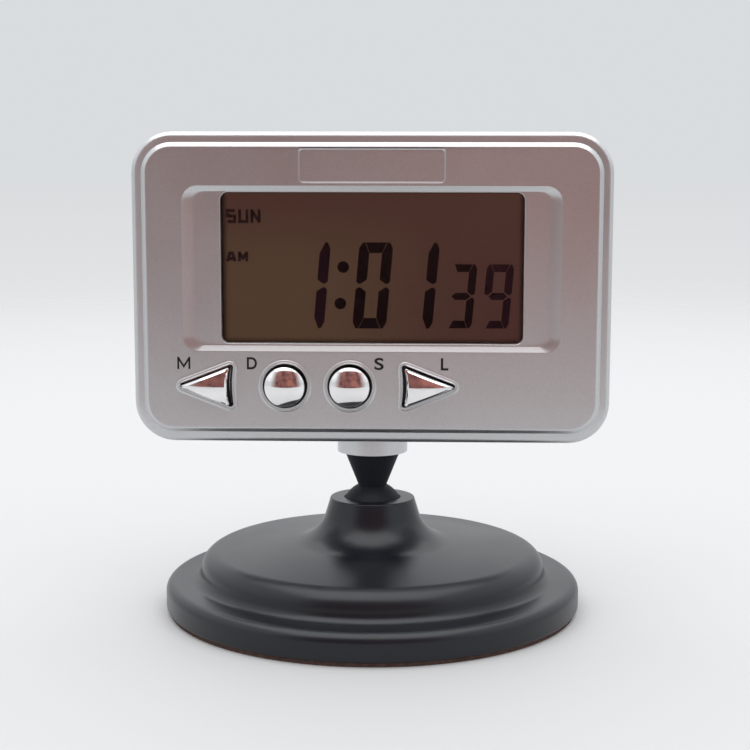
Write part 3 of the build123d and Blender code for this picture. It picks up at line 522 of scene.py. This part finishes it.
def make_grain_group():
    """Fine grain of a moulded or sprayed surface: a bump normal, and a mask of the same grain."""
    group = Group("surface_grain", "ShaderNodeTree",
                  {"Scale": "Float", "Depth": "Float", "Detail": "Float"},
                  {"Normal": "Vector", "Mask": "Float"})
    given = group.given
    noise = group.add("ShaderNodeTexNoise", {
        "Vector": group.add("ShaderNodeTexCoord").outputs["Object"], "Scale": given["Scale"],
        "Detail": given["Detail"]}).outputs["Fac"]
    bump = group.add("ShaderNodeBump", {"Height": noise, "Distance": given["Depth"]})
    return group.end(Normal=bump.outputs["Normal"], Mask=noise)


def make_smudge_group():
    """Uneven gloss from handling: a roughness between Low and High."""
    group = Group("handling_gloss", "ShaderNodeTree",
                  {"Scale": "Float", "Low": "Float", "High": "Float"}, {"Roughness": "Float"})
    given = group.given
    noise = group.add("ShaderNodeTexNoise", {
        "Vector": group.add("ShaderNodeTexCoord").outputs["Object"], "Scale": given["Scale"],
        "Detail": 4, "Distortion": 0.6}).outputs["Fac"]
    spread = group.add("ShaderNodeMapRange", {
        "Value": noise, "From Min": MASK_SPAN[0], "From Max": MASK_SPAN[1],
        "To Min": given["Low"], "To Max": given["High"]})
    return group.end(Roughness=spread.outputs["Result"])


GRAIN = make_grain_group()
SMUDGE = make_smudge_group()


# Materials

class Finish(Nodes):
    """A Principled material, with short ways to add its node groups."""

    def __init__(self, name, color, roughness, **values):
        self.material = bpy.data.materials.new(name)
        self.material.use_nodes = True
        super().__init__(self.material.node_tree)
        self.shader = self.tree.nodes["Principled BSDF"]
        self.shader.inputs["Base Color"].default_value = (*color, 1)
        self.shader.inputs["Roughness"].default_value = roughness
        for socket, value in values.items():
            self.shader.inputs[socket.replace("_", " ")].default_value = value

    def drive(self, socket, output):
        self.tree.links.new(output, self.shader.inputs[socket])

    def grain(self, scale, depth, detail=3.0):
        node = self.add("ShaderNodeGroup",
                        {"Scale": scale, "Depth": depth * MM, "Detail": detail}, node_tree=GRAIN)
        self.drive("Normal", node.outputs["Normal"])
        return node.outputs["Mask"]

    def smudge(self, scale, low, high):
        node = self.add("ShaderNodeGroup", {"Scale": scale, "Low": low, "High": high},
                        node_tree=SMUDGE)
        self.drive("Roughness", node.outputs["Roughness"])

    def axes(self):
        """Where a point of the surface lies along X, Y and Z."""
        coords = self.add("ShaderNodeTexCoord").outputs["Object"]
        return self.add("ShaderNodeSeparateXYZ", {"Vector": coords}).outputs

    def span(self, value, low, high):
        """Value that eases from 0 to 1 between two places, in millimetres."""
        node = self.add("ShaderNodeMapRange",
                        {"Value": value, "From Min": low * MM, "From Max": high * MM},
                        interpolation_type="SMOOTHSTEP")
        return node.outputs["Result"]

    def tint(self, mask, dark, light):
        """Colour that runs from dark to light with the mask."""
        ramp = self.add("ShaderNodeValToRGB", {"Fac": mask})
        for stop, position, color in zip(ramp.color_ramp.elements, MASK_SPAN, (dark, light)):
            stop.position = position
            stop.color = (*color, 1)
        self.drive("Base Color", ramp.outputs["Color"])


def silver_paint():
    finish = Finish("silver_paint", (0.5, 0.5, 0.5), 0.32, Metallic=0.9)
    flakes = finish.grain(scale=9000, depth=0.004, detail=2.0)
    finish.tint(flakes, dark=(0.53, 0.54, 0.55), light=(0.63, 0.64, 0.65))
    finish.smudge(scale=45, low=0.29, high=0.34)
    return finish.material


def satin_black():
    finish = Finish("satin_black", (0.01, 0.01, 0.013), 0.35, Specular_IOR_Level=0.44)
    grain = finish.grain(scale=5200, depth=0.006)
    finish.tint(grain, dark=(0.004, 0.0055, 0.009), light=(0.007, 0.009, 0.0135))
    finish.smudge(scale=38, low=0.27, high=0.35)
    return finish.material


def matt_black():
    finish = Finish("matt_black", (0.01, 0.01, 0.013), 0.6, Specular_IOR_Level=0.25)
    grain = finish.grain(scale=4200, depth=0.01)
    finish.tint(grain, dark=(0.007, 0.0085, 0.012), light=(0.012, 0.014, 0.019))
    return finish.material


def plated_chrome():
    finish = Finish("plated_chrome", (0.86, 0.86, 0.87), 0.05, Metallic=1.0)
    waviness = finish.grain(scale=350, depth=0.0012, detail=1.0)
    finish.tint(waviness, dark=(0.84, 0.84, 0.85), light=(0.90, 0.90, 0.90))
    finish.smudge(scale=180, low=0.03, high=0.07)
    return finish.material


def clear_window():
    finish = Finish("clear_window", (0.98, 0.98, 0.98), 0.0, Transmission_Weight=1.0, IOR=1.3)
    return finish.material


def plain_plastic(name, dark, light, roughness, scale=3000, depth=0.004):
    finish = Finish(name, light, roughness)
    finish.tint(finish.grain(scale, depth), dark, light)
    return finish.material


PLAIN_SLOTS = {          # dark and light tint, roughness, and the grain where it's coarse
    "light_acrylic": ((0.75, 0.78, 0.78), (0.85, 0.87, 0.87), 0.1),
    "white_plastic": ((0.70, 0.70, 0.68), (0.80, 0.80, 0.78), 0.4),
    "board_green": ((0.01, 0.09, 0.03), (0.02, 0.14, 0.05), 0.3),
    "black_epoxy": ((0.01, 0.01, 0.01), (0.02, 0.02, 0.02), 0.35),
    "grey_rubber": ((0.15, 0.15, 0.15), (0.22, 0.22, 0.22), 0.7),
    "foam_brown": ((0.045, 0.022, 0.017), (0.085, 0.045, 0.035), 0.9, 1500, 0.05),
    "amber_led": ((0.7, 0.3, 0.05), (0.8, 0.4, 0.08), 0.2),
}


def bright_steel():
    finish = Finish("bright_steel", (0.55, 0.55, 0.56), 0.28, Metallic=1.0)
    grain = finish.grain(scale=2500, depth=0.002)
    finish.tint(grain, dark=(0.50, 0.50, 0.51), light=(0.62, 0.62, 0.63))
    finish.smudge(scale=250, low=0.22, high=0.36)
    return finish.material


def painted_display_glow():
    """Painted glow of the display, which is no lamp: golden brown at the left, redder at the
    right, with painted shade at its edges.
    """
    finish = Finish("display_glass", (0.004, 0.003, 0.002), 0.4, Specular_IOR_Level=0.1,
                    Emission_Strength=1.0)
    axes = finish.axes()

    def mixed(kind, factor, a, b):
        node = finish.add("ShaderNodeMix", data_type="RGBA", blend_type=kind)
        node.inputs["Factor"].default_value = 1
        for name, value in (("Factor", factor), ("A", a), ("B", b)):
            socket = [s for s in node.inputs if s.name == name and s.enabled][0]
            if isinstance(value, tuple):
                socket.default_value = (*value, 1)
            elif value is not None:
                finish.tree.links.new(value, socket)
        return [s for s in node.outputs if s.enabled][0]

    # painted glow: emission in place of the light that comes in through the window
    across = mixed("MIX", finish.span(axes["X"], *GLOW_ACROSS), GLOW_LEFT, GLOW_RIGHT)
    glow = mixed("MIX", finish.span(axes["Z"], *GLOW_UP), across, GLOW_TOP)
    # painted shade along each edge of the display
    for side, axis, edge, inward in (("left", "X", -window_w / 2, 1),
                                     ("right", "X", window_w / 2, -1),
                                     ("top", "Z", window_z + window_h / 2, -1),
                                     ("bottom", "Z", window_z - window_h / 2, 1)):
        dark, clear = (edge + inward * inside for inside in EDGE_SHADES[side])
        glow = mixed("MULTIPLY", None, glow, finish.span(axes[axis], dark, clear))
    finish.drive("Emission Color", glow)
    return finish.material


def ink(name, color, sheen=0.1):
    """Print, or the dark of a display segment."""
    finish = Finish(name, color, 0.5, Specular_IOR_Level=sheen)
    grain = finish.grain(scale=2500, depth=0.001)
    finish.tint(grain, color, tuple(c * 1.25 for c in color))
    return finish.material


# Pieces

def make_base_shell(material):
    """Foot: rim, ledge, drum and trumpet turned in one, hollow below."""
    top = shell_high.z
    rim_r = shell_high.x
    deck_axis = DECK_Z + DECK_SLOPE * DRUM_R
    foot_r = (COLLAR_R + COLLAR_LEAN * (top - deck_axis)) / (1 - COLLAR_LEAN * DECK_SLOPE)
    mouth_low = sqrt(SOCKET_R**2 - (top - MOUTH_LIP - BALL_Z)**2)
    mouth_top = sqrt(SOCKET_R**2 - (top - BALL_Z)**2)
    corners = [
        (mouth_top, top), (COLLAR_R, top), (foot_r, DECK_Z + DECK_SLOPE * (DRUM_R - foot_r)),
        (DRUM_R, DECK_Z), (DRUM_R + DRUM_LEAN, LEDGE_Z), (rim_r, LEDGE_Z), (rim_r, shell_low.z),
        (rim_r - SKIRT_WALL, shell_low.z), (rim_r - SKIRT_WALL, PLATE_TOP),
        (DRUM_R - DRUM_WALL, PLATE_TOP), (DRUM_R - DRUM_WALL, CAVITY_TOP), (BORE_R, CAVITY_TOP),
        (BORE_R, top - MOUTH_LIP), (mouth_low, top - MOUTH_LIP)]
    radii = [MOUTH_ROUND, COLLAR_ROUND, TRUMPET_R, DRUM_ROUND, DRUM_FOOT_ROUND, RIM_TOP_ROUND,
             RIM_FOOT_ROUND] + [0] * 7
    bm = grow(rounded_loop(corners, radii, FOOT_ARC_STEPS), TURNING, Steps=TURN_STEPS, Closed=1,
              Merge=MERGE * MM, Material=material)
    piece = finished_object("base_shell_turned", bm, material)
    place_piece(piece, "base", "black_plastic", "base_shell")


def make_case_screws(material):
    """Screws with rounded heads and a cross recess, in the back of the head."""
    seat = screws_high.y - SCREW_HEAD_H
    profile = rounded_path(
        [(0, screws_low.y - seat), (SCREW_SHANK_R - SCREW_TIP, screws_low.y - seat),
         (SCREW_SHANK_R, screws_low.y - seat + SCREW_TIP), (SCREW_SHANK_R, 0), (SCREW_HEAD_R, 0),
         (SCREW_HEAD_R, SCREW_HEAD_H), (0, SCREW_HEAD_H)],
        [0, 0, 0, SCREW_EDGE_ROUND, SCREW_HEAD_ROUND])
    across = screws_high.x - screws_low.x - 2 * SCREW_HEAD_R
    up = screws_high.z - screws_low.z - 2 * SCREW_HEAD_R
    middle = Vector(((screws_high.x + screws_low.x) / 2, seat, (screws_high.z + screws_low.z) / 2))
    bm = grow(profile, SCREWS, Steps=SCREW_STEPS, Merge=MERGE * MM, Spread_Across=across * MM,
              Spread_Up=up * MM, Middle=middle * MM, Head_Top=SCREW_HEAD_H * MM,
              Recess_Width=RECESS_W * MM, Recess_Length=RECESS_L * MM,
              Recess_Depth=RECESS_D * MM, Seed=SCREW_SEED, Material=material)
    piece = finished_object("case_screws_recessed", bm, material)
    place_piece(piece, "head", "steel", "case_screws")


def button_outlines():
    """Each button's hole and cap, as functions that give the outline grown by a length."""
    pairs = [(lambda grow, x=x: circle(x, button_z, ROUND_HOLE_R + grow),
              lambda grow, x=x: circle(x, button_z, ROUND_CAP_R + grow)) for x in ROUND_X]
    pairs += [(lambda grow, x=x, p=p: arrow_outline(x, p, grow),
               lambda grow, x=x, p=p: arrow_outline(x, p, grow - CAP_GAP, CAP_SET))
              for x, p in zip(ARROW_BASE_X, (-1, 1))]
    return pairs


def hole_profile():
    """Low bead round a button hole: how far outside the hole, and how deep."""
    shares = [i / BEAD_STEPS for i in range(BEAD_STEPS + 1)]
    bead = [(HOLE_LIP_W * (1 - t), face_y - HOLE_LIP_H * (1 - cos(2 * pi * t)) / 2)
            for t in shares[:-2]]
    inside = rounded_path([bead[-1], (0, bead[-1][1] + HOLE_STEP), (0, inner_y)], [SOFT_EDGE / 2])
    return [(HOLE_LIP_W + SUPPORT, face_y), *bead, *inside[1:]]


def cut_holes(bm):
    """Walls and lips of the four button holes: their rings at the face and behind it."""
    profile = hole_profile()
    front, back = [], []
    for hole, _ in button_outlines():
        rings = loft(bm, [ring(bm, hole(grow), y) for grow, y in profile])
        front.append(rings[0])
        back.append(rings[-1])
    return front, back


def sink_dish(bm):
    """Dish round the window and the window's opening: its rings at the face and behind it."""
    low_w = DISH_LOW - DISH_REST
    top_w = DISH_TOP + OPENING_TOP - DISH_REST
    slope = rounded_path([(-SUPPORT, 0), (0, 0), (DISH_STEEP_W, DISH_STEEP_D), (low_w, DISH_D)],
                         [DISH_ROUND] * 2)
    rings = []
    for inset, depth in slope:
        share = min(depth / DISH_D, 1)
        side = DISH_SIDE_W * (1 - sqrt(1 - share)) + min(inset, 0)
        top = window_z + window_h / 2 + DISH_TOP - top_w * share - min(inset, 0)
        low = window_z - window_h / 2 - DISH_LOW + inset
        corner = DISH_CORNER + share * (REST_CORNER - DISH_CORNER)
        outline = rounded_rect(0, (top + low) / 2, window_w + 2 * (DISH_SIDE - side), top - low,
                               corner)
        rings.append(ring(bm, outline, face_y + depth))
    opening = rounded_path([(DISH_REST - RING_GAP, dish_y), (0, dish_y), (0, inner_y)],
                           [OPENING_ROUND])
    for grow, y in opening:
        outline = rounded_rect(OPENING_LEFT / 2, window_z - OPENING_TOP / 2,
                               window_w - OPENING_LEFT + 2 * grow,
                               window_h - OPENING_TOP + 2 * grow, WINDOW_CORNER + grow)
        rings.append(ring(bm, outline, y))
    loft(bm, rings)
    return rings[0], rings[-1]


def sink_badge(bm):
    """Shallow blank field over the window: its ring at the face."""
    slope = rounded_path([(BADGE_OUTER, 0), (0, 0), (-BADGE_SLOPE, BADGE_D),
                          (-BADGE_SLOPE - BADGE_INNER, BADGE_D)],
                         [BADGE_ROUND] * 2, SMALL_ARC_STEPS)
    z = front_high.z - BADGE_DROP - BADGE_H / 2
    rings = [ring(bm, rounded_rect(BADGE_X, z, BADGE_W + 2 * grow, BADGE_H + 2 * grow,
                                   BADGE_CORNER + grow), face_y + depth)
             for grow, depth in slope]
    loft(bm, rings)
    bm.faces.new(rings[-1])
    return rings[0]


def make_front_case(material):
    """Front shell as one closed skin: inside wall, rim, raised face, dish and holes."""
    bm = bmesh.new()
    profile = rounded_path(
        [(WALL, inner_y), (WALL, -TONGUE_L), (WALL - TONGUE_T, -TONGUE_L), (WALL - TONGUE_T, 0),
         (0, 0), (0, lip_y + LIP_FALL), (PANEL_INSET, lip_y),
         (PANEL_INSET + FACE_BEVEL, face_y),
         (PANEL_INSET + FACE_BEVEL + FACE_EDGE / 2 + SUPPORT, face_y)],
        [0, 0, 0, SEAM_ROUND, LIP_ROUND, LIP_VALLEY, FACE_EDGE], LIP_STEPS)
    rings = loft(bm, [ring(bm, case_outline(inset), y) for inset, y in profile])
    hole_fronts, hole_backs = cut_holes(bm)
    dish_front, dish_back = sink_dish(bm)
    badge = sink_badge(bm)
    fill_flat(bm, [rings[-1], dish_front, badge, *hole_fronts])
    fill_flat(bm, [rings[0], dish_back, *hole_backs])
    piece = finished_object("front_case_skin", bm, material)
    place_piece(piece, "head", "silver_paint", "front_case")


def cap_stem(bm, x):
    """Round stem behind a cap, down to the switch."""
    profile = ((CAP_STEM_R, inner_y + CAP_STEM_AT), (CAP_STEM_R, cap_high.y - STEM_NOSE),
               (STEM_NOSE_R, cap_high.y - STEM_SHORT))
    rings = loft(bm, [ring(bm, circle(x, button_z, r, STEM_STEPS), y) for r, y in profile])
    bm.faces.new(rings[0])
    bm.faces.new(rings[-1])


def make_hole_shade_sheets(material):
    """Dark sheets inside the button holes, clear of the caps: painted shade in the gaps round
    them.
    """
    bm = bmesh.new()
    for hole, cap in button_outlines():
        outer, inner, foot = hole(-RING_GAP), hole(-RING_GAP - SHADE_SHEET_T), cap(SHADE_SHEET_FREE)
        walls = [(outer, face_y + SHADE_SHEET_TOP), (inner, face_y + SHADE_SHEET_TOP),
                 (inner, inner_y - 2 * SHADE_SHEET_T), (foot, inner_y - 2 * SHADE_SHEET_T),
                 (foot, inner_y + SHADE_SHEET_T), (outer, inner_y + SHADE_SHEET_T)]
        rings = loft(bm, [ring(bm, outline, y) for outline, y in walls])
        bridge(bm, rings[-1], rings[0])
    piece = finished_object("button_hole_shade_sheets", bm, material)
    place_piece(piece, "head", "black_plastic")


def make_round_button(x, name, body, material):
    """Low domed cap, with the flange behind the face and the stem."""
    flange_r = ROUND_CAP_R + CAP_FLANGE_W
    dome_r = (ROUND_CAP_R**2 + DOME_H**2) / (2 * DOME_H)
    edge_angle = atan2(ROUND_CAP_R, dome_r - DOME_H)
    dome = [edge_angle * (1 - i / DOME_STEPS) for i in range(1, DOME_STEPS + 1)]
    front = [(dome_r * sin(a), cap_low.y + dome_r * (1 - cos(a))) for a in dome]
    side = rounded_path(
        [(0, flange_y + CAP_FLANGE_T), (flange_r, flange_y + CAP_FLANGE_T), (flange_r, flange_y),
         (ROUND_CAP_R, flange_y), (ROUND_CAP_R, cap_low.y + DOME_H), front[0]],
        [0, CAP_FLANGE_ROUND, CAP_FLANGE_ROUND, DOME_EDGE])
    profile = [(r, -y) for r, y in [*side, *front[1:]]]
    bm = grow(profile, TURNING, Steps=CAP_STEPS, Closed=0, Merge=MERGE * MM, Material=material)
    place = Matrix.Translation((x * MM, 0, button_z * MM)) @ Matrix.Rotation(radians(90), 4, "X")
    bmesh.ops.transform(bm, matrix=place, verts=bm.verts)
    cap_stem(bm, x)
    piece = finished_object(name + "_cap", bm, material)
    place_piece(piece, body, "chrome", name)


def make_arrow_button(base_x, point, name, body, material):
    """Arrow cap pointing left (-1) or right (1): crowned face, bevel, flange and stem."""
    bm = bmesh.new()
    centre = Vector((base_x + point * ARROW_L * CROWN_AT, button_z))

    def crowned(outline, sunk):
        """Ring on the crowned face, or sunk under it."""
        return [bm.verts.new((x * MM, MM * (cap_low.y + sunk + (x - centre.x)**2 / (2 * CROWN_RX)
                                            + (z - centre.y)**2 / (2 * CROWN_RZ)), z * MM))
                for x, z in outline]

    flange = arrow_outline(base_x, point, CAP_FLANGE_W - CAP_GAP)
    wall = arrow_outline(base_x, point, -CAP_GAP, CAP_SET)
    rings = [ring(bm, flange, flange_y + CAP_FLANGE_T), ring(bm, flange, flange_y),
             ring(bm, wall, flange_y)]
    bevel = rounded_path([(0, CAP_SIDE_H), (0, CAP_BEVEL_D), (CAP_BEVEL, 0),
                          (CAP_BEVEL + CAP_REST, 0)], CAP_BEVEL_ROUNDS, SMALL_ARC_STEPS)
    rings += [crowned(arrow_outline(base_x, point, -CAP_GAP - inset, CAP_SET), sunk)
              for inset, sunk in bevel]
    face = arrow_outline(base_x, point, -CAP_GAP - CAP_BEVEL - CAP_REST, CAP_SET)
    shares = [CROWN_FIRST - CROWN_SHRINK * i for i in range(CROWN_RINGS)]
    rings += [crowned([centre + (Vector(p) - centre) * share for p in face], 0)
              for share in shares]
    loft(bm, rings)
    bm.faces.new(rings[0])
    top = bm.verts.new((centre.x * MM, cap_low.y * MM, centre.y * MM))
    for i in range(len(rings[-1])):
        bm.faces.new((rings[-1][i - 1], rings[-1][i], top))
    cap_stem(bm, base_x + point * ARROW_SEAT)
    piece = finished_object(name + "_cap", bm, material)
    place_piece(piece, body, "chrome", name)


def digit_segments(w, h, t):
    """Outlines of the seven segments of an upright digit, by their usual letters.

    The digit is w wide and h high, and most lengths are shares of its stroke t.
    """
    gap = HAIRLINE
    bend = 0.56 * t          # where the hairline leaves the outer edge
    mid = h / 2
    bar = 0.46 * t           # half of the middle segment
    shoulder = t / 2 + 0.12  # foot of an upright's inner side, over the middle
    tip = 0.17 * t           # its lowest edge, over the middle
    upper = rounded_loop(
        [(0, mid + tip + 0.2 * t), (0.25 * t, mid + tip), (0.42 * t, mid + tip),
         (t, mid + shoulder), (t, h - t - gap), (bend - gap, h), (0.3 * t, h), (0, h - 0.6 * t)],
        [0.15 * t, 0.1 * t, 0.1 * t, 0.12 * t, 0, 0.04, 0.2 * t, 0.3 * t], 3)
    top = [(bend + gap, h), (w - bend - gap, h), (w - t - gap, h - t), (t + gap, h - t)]
    middle = [(0.5 * t + gap, mid), (t + gap, mid + bar), (w - t - gap, mid + bar),
              (w - 0.5 * t - gap, mid), (w - t - gap, mid - bar), (t + gap, mid - bar)]

    def mirrored(points, across=False, down=False):
        return [(w - x if across else x, h - z if down else z) for x, z in points]

    return {"a": top, "b": mirrored(upper, across=True),
            "c": mirrored(upper, across=True, down=True), "d": mirrored(top, down=True),
            "e": mirrored(upper, down=True), "f": upper, "g": middle}


def add_ink(bm, outline, y_back, thick=INK_T):
    """Thin closed slab with this outline, standing in front of y_back."""
    front = ring(bm, outline, y_back - thick)
    back = ring(bm, outline, y_back)
    bridge(bm, front, back)
    bm.faces.new(front)
    bm.faces.new(back)


def make_digits(dark, faint):
    """The time on the display. The digits near the ends are a little fainter."""
    slope = tan(radians(SLANT))
    strong, weak = bmesh.new(), bmesh.new()
    for place, (digit, t, left, low, right, high) in enumerate(DIGITS):
        h = high - low
        w = right - left - h * slope
        outlines = digit_segments(w, h, t)
        bm = weak if place in FAINT_PLACES else strong
        for letter in SEGMENTS[digit]:
            add_ink(bm, [(left + x + z * slope, low + z) for x, z in outlines[letter]],
                    glass_low.y)
    for x, z in COLON:
        add_ink(strong, circle(x, z, COLON_R, COLON_STEPS), glass_low.y)
    for name, bm, material in (("display_digits", strong, dark),
                               ("display_end_digits", weak, faint)):
        place_piece(finished_object(name, bm, material, smooth=False), "head", "display_glass")


def stroke(bm, points, width, y_back=glass_low.y, thick=INK_T):
    """Flat stroke along points, with mitred corners."""
    points = [Vector(p) for p in points]
    runs = [b - a for a, b in zip(points, points[1:])]
    normals = [Vector((-run.y, run.x)).normalized() for run in runs]
    left, right = [], []
    for i, p in enumerate(points):
        before, after = normals[max(i - 1, 0)], normals[min(i, len(normals) - 1)]
        n = (before + after) / (before + after).dot(after)
        left.append(p + n * width / 2)
        right.append(p - n * width / 2)
    for i in range(len(points) - 1):
        add_ink(bm, [left[i], left[i + 1], right[i + 1], right[i]], y_back, thick)


def make_display_words(material):
    """Day and half-day marks in the block letters of a liquid crystal display."""
    bm = bmesh.new()
    for word, left, low, w, h, step in WORDS:
        for place, letter in enumerate(word):
            for line in BLOCK_LETTERS[letter]:
                stroke(bm, [(left + place * step + x * w, low + z * h) for x, z in line],
                       WORD_STROKE)
    place_piece(finished_object("display_words", bm, material, smooth=False), "head",
                "display_glass")


def make_legends(material):
    """Letters printed over the buttons."""
    bm = bmesh.new()
    for letter, x, width in LEGENDS:
        curve = bpy.data.curves.new("legend", "FONT")
        curve.body = letter
        curve.offset = LEGEND_BOLD
        curve.extrude = LEGEND_T / 2
        text = bpy.data.objects.new("legend", curve)
        bpy.context.scene.collection.objects.link(text)
        bpy.context.view_layer.update()
        shape = bpy.data.meshes.new_from_object(text)
        bpy.data.objects.remove(text)
        low = Vector([min(v.co[i] for v in shape.vertices) for i in range(2)])
        high = Vector([max(v.co[i] for v in shape.vertices) for i in range(2)])
        across, up = width / (high.x - low.x), LEGEND_H / (high.y - low.y)
        middle = (low + high) / 2
        for v in shape.vertices:
            v.co = Vector(((x + (v.co.x - middle.x) * across) * MM,
                           (face_y - LEGEND_T / 2 - v.co.z) * MM,
                           (LEGEND_Z + (v.co.y - middle.y) * up) * MM))
        bm.from_mesh(shape)
    bmesh.ops.remove_doubles(bm, verts=bm.verts, dist=MERGE * MM)
    half, low, high = (M_W - M_STROKE) / 2, LEGEND_Z - LEGEND_H / 2, LEGEND_Z + LEGEND_H / 2
    for side in (-1, 1):
        leg = M_X + side * half
        stroke(bm, [(leg, low), (leg, high)], M_STROKE, face_y, LEGEND_T)
    middle = [(M_X - half, high - M_STROKE / 2), (M_X, low + LEGEND_H * M_FOOT),
              (M_X + half, high - M_STROKE / 2)]
    stroke(bm, middle, M_STROKE, face_y, LEGEND_T)
    place_piece(finished_object("button_legends", bm, material, smooth=False), "head",
                "silver_paint")


# Finish of every node that stays

def finish_nodes(finishes):
    """Gives the nodes that stay their finishes, by the name of their material."""
    for node in nodes.values():
        for place, slot in enumerate(node.material_slots):
            if slot.material.name in finishes:
                node.material_slots[place].material = finishes[slot.material.name]


# Studio

def set_camera():
    data = bpy.data.cameras.new("camera")
    data.sensor_width = SENSOR
    data.lens = SENSOR * FOCAL_PX / PHOTO_PX
    data.shift_x = (PHOTO_PX / 2 - AXIS_PX) / PHOTO_PX
    data.clip_start = CAMERA_CLIP * MM
    camera = bpy.data.objects.new("camera", data)
    bpy.context.scene.collection.objects.link(camera)
    turn = Matrix.Rotation(radians(CAMERA_TURN), 4, "Z")
    pitch = Matrix.Rotation(radians(90 - CAMERA_PITCH), 4, "X")
    roll = Matrix.Rotation(radians(CAMERA_ROLL), 4, "Z")
    camera.matrix_world = Matrix.Translation(Vector(CAMERA_AT) * MM) @ turn @ pitch @ roll
    bpy.context.scene.camera = camera


def stage_object(name, bm, material):
    piece = finished_object(name, bm, material, smooth=False)
    return piece


def make_floor():
    finish = Finish("studio_floor", FLOOR_COLOR, 0.6, Specular_IOR_Level=0.2)
    coords = finish.add("ShaderNodeTexCoord").outputs["Object"]
    length = finish.add("ShaderNodeVectorMath", {0: coords}, operation="LENGTH").outputs["Value"]
    fade = finish.add("ShaderNodeMapRange", {
        "Value": length, "From Min": FLOOR_FADE[0], "From Max": FLOOR_FADE[1], "To Min": 1,
        "To Max": 0}, interpolation_type="SMOOTHSTEP")
    finish.drive("Alpha", fade.outputs["Result"])
    bm = bmesh.new()
    bmesh.ops.create_circle(bm, cap_ends=True, radius=FLOOR_R * MM, segments=FLOOR_STEPS)
    stage_object("studio_floor", bm, finish.material)


def make_card():
    """Upright card behind the camera, mottled, with its top and sides faded."""
    finish = Finish("studio_card", CARD_DARK, 0.9)
    mottle = finish.grain(scale=9, depth=0.0, detail=2.0)
    finish.tint(mottle, CARD_DARK, CARD_WARM)
    axes = finish.axes()
    left = finish.span(axes["X"], -CARD_W / 2, -CARD_W / 2 + CARD_SIDE_SOFT)
    right = finish.span(axes["X"], CARD_W / 2, CARD_W / 2 - CARD_SIDE_SOFT)
    top = finish.span(axes["Z"], CARD_H, CARD_H - CARD_TOP_SOFT)
    sides = finish.math("MULTIPLY", left, right)
    finish.drive("Alpha", finish.math("MULTIPLY", sides, top))
    bm = bmesh.new()
    corners = ((-CARD_W / 2, CARD_FOOT), (CARD_W / 2, CARD_FOOT), (CARD_W / 2, CARD_H),
               (-CARD_W / 2, CARD_H))
    bm.faces.new([bm.verts.new((x * MM, CARD_Y * MM, z * MM)) for x, z in corners])
    card = stage_object("studio_card", bm, finish.material)
    card.visible_camera = False
    card.visible_diffuse = False


def softbox(name, place, target, size, power):
    data = bpy.data.lights.new(name, "AREA")
    data.shape = "RECTANGLE"
    data.size = size[0] * MM
    data.size_y = size[1] * MM
    data.energy = power
    light = bpy.data.objects.new(name, data)
    light.location = Vector(place) * MM
    aim = Vector(target) - Vector(place)
    light.rotation_euler = aim.to_track_quat("-Z", "Y").to_euler()
    light.visible_camera = False
    bpy.context.scene.collection.objects.link(light)


def light_studio():
    world = bpy.data.worlds.new("studio")
    world.use_nodes = True
    sky = Nodes(world.node_tree)
    coords = sky.add("ShaderNodeTexCoord").outputs["Generated"]
    axes = sky.add("ShaderNodeSeparateXYZ", {"Vector": coords}).outputs
    height = sky.add("ShaderNodeMapRange", {
        "Value": axes["Z"], "From Min": BACKGROUND_FROM, "From Max": BACKGROUND_TO})
    ramp = sky.add("ShaderNodeValToRGB", {"Fac": height.outputs["Result"]})
    stops = ramp.color_ramp.elements
    stops.remove(stops[1])
    for position, color in BACKGROUND:
        stop = stops.new(position) if position else stops[0]
        stop.color = (*color, 1)
    sky.tree.links.new(ramp.outputs["Color"], sky.tree.nodes["Background"].inputs["Color"])
    bpy.context.scene.world = world
    bpy.context.scene.view_settings.view_transform = "Standard"
    softbox("overhead_softbox", SOFTBOX_AT, SOFTBOX_TARGET, SOFTBOX_SIZE, SOFTBOX_POWER)
    make_floor()
    make_card()


def build():
    silver = silver_paint()
    chrome = plated_chrome()
    black = satin_black()
    matt = matt_black()
    steel = bright_steel()
    # dark sheets in the button holes: painted shade in the gaps round the caps
    hole_shade = plain_plastic("unpainted_plastic", (0.045, 0.034, 0.03), (0.065, 0.05, 0.045),
                              roughness=0.5)
    make_base_shell(black)
    make_front_case(silver)
    make_case_screws(steel)
    make_hole_shade_sheets(hole_shade)
    for x, side in zip(ROUND_X, ("left", "right")):
        make_round_button(x, f"round_button_{side}", f"round_{side}", chrome)
    for x, point, side in zip(ARROW_BASE_X, (-1, 1), ("left", "right")):
        make_arrow_button(x, point, f"{side}_arrow_button", f"{side}_arrow", chrome)
    make_digits(ink("segment_dark", (0.0015, 0.0015, 0.003), sheen=0.02),
                ink("segment_faint", (0.010, 0.003, 0.009), sheen=0.02))
    make_display_words(ink("segment_pale", (0.018, 0.009, 0.010)))
    make_legends(ink("legend_print", (0.02, 0.016, 0.016)))
    finishes = {name: plain_plastic(name, *values) for name, values in PLAIN_SLOTS.items()}
    finishes.update({"silver_paint": silver, "black_plastic": black, "chrome": chrome,
                     "steel": steel, "window_clear": clear_window(),
                     "display_glass": painted_display_glow()})
    finish_nodes(finishes)
    for name in ("ball_stud", "ball_cup"):
        nodes[name].material_slots[0].material = matt


build()
set_camera()
light_studio()
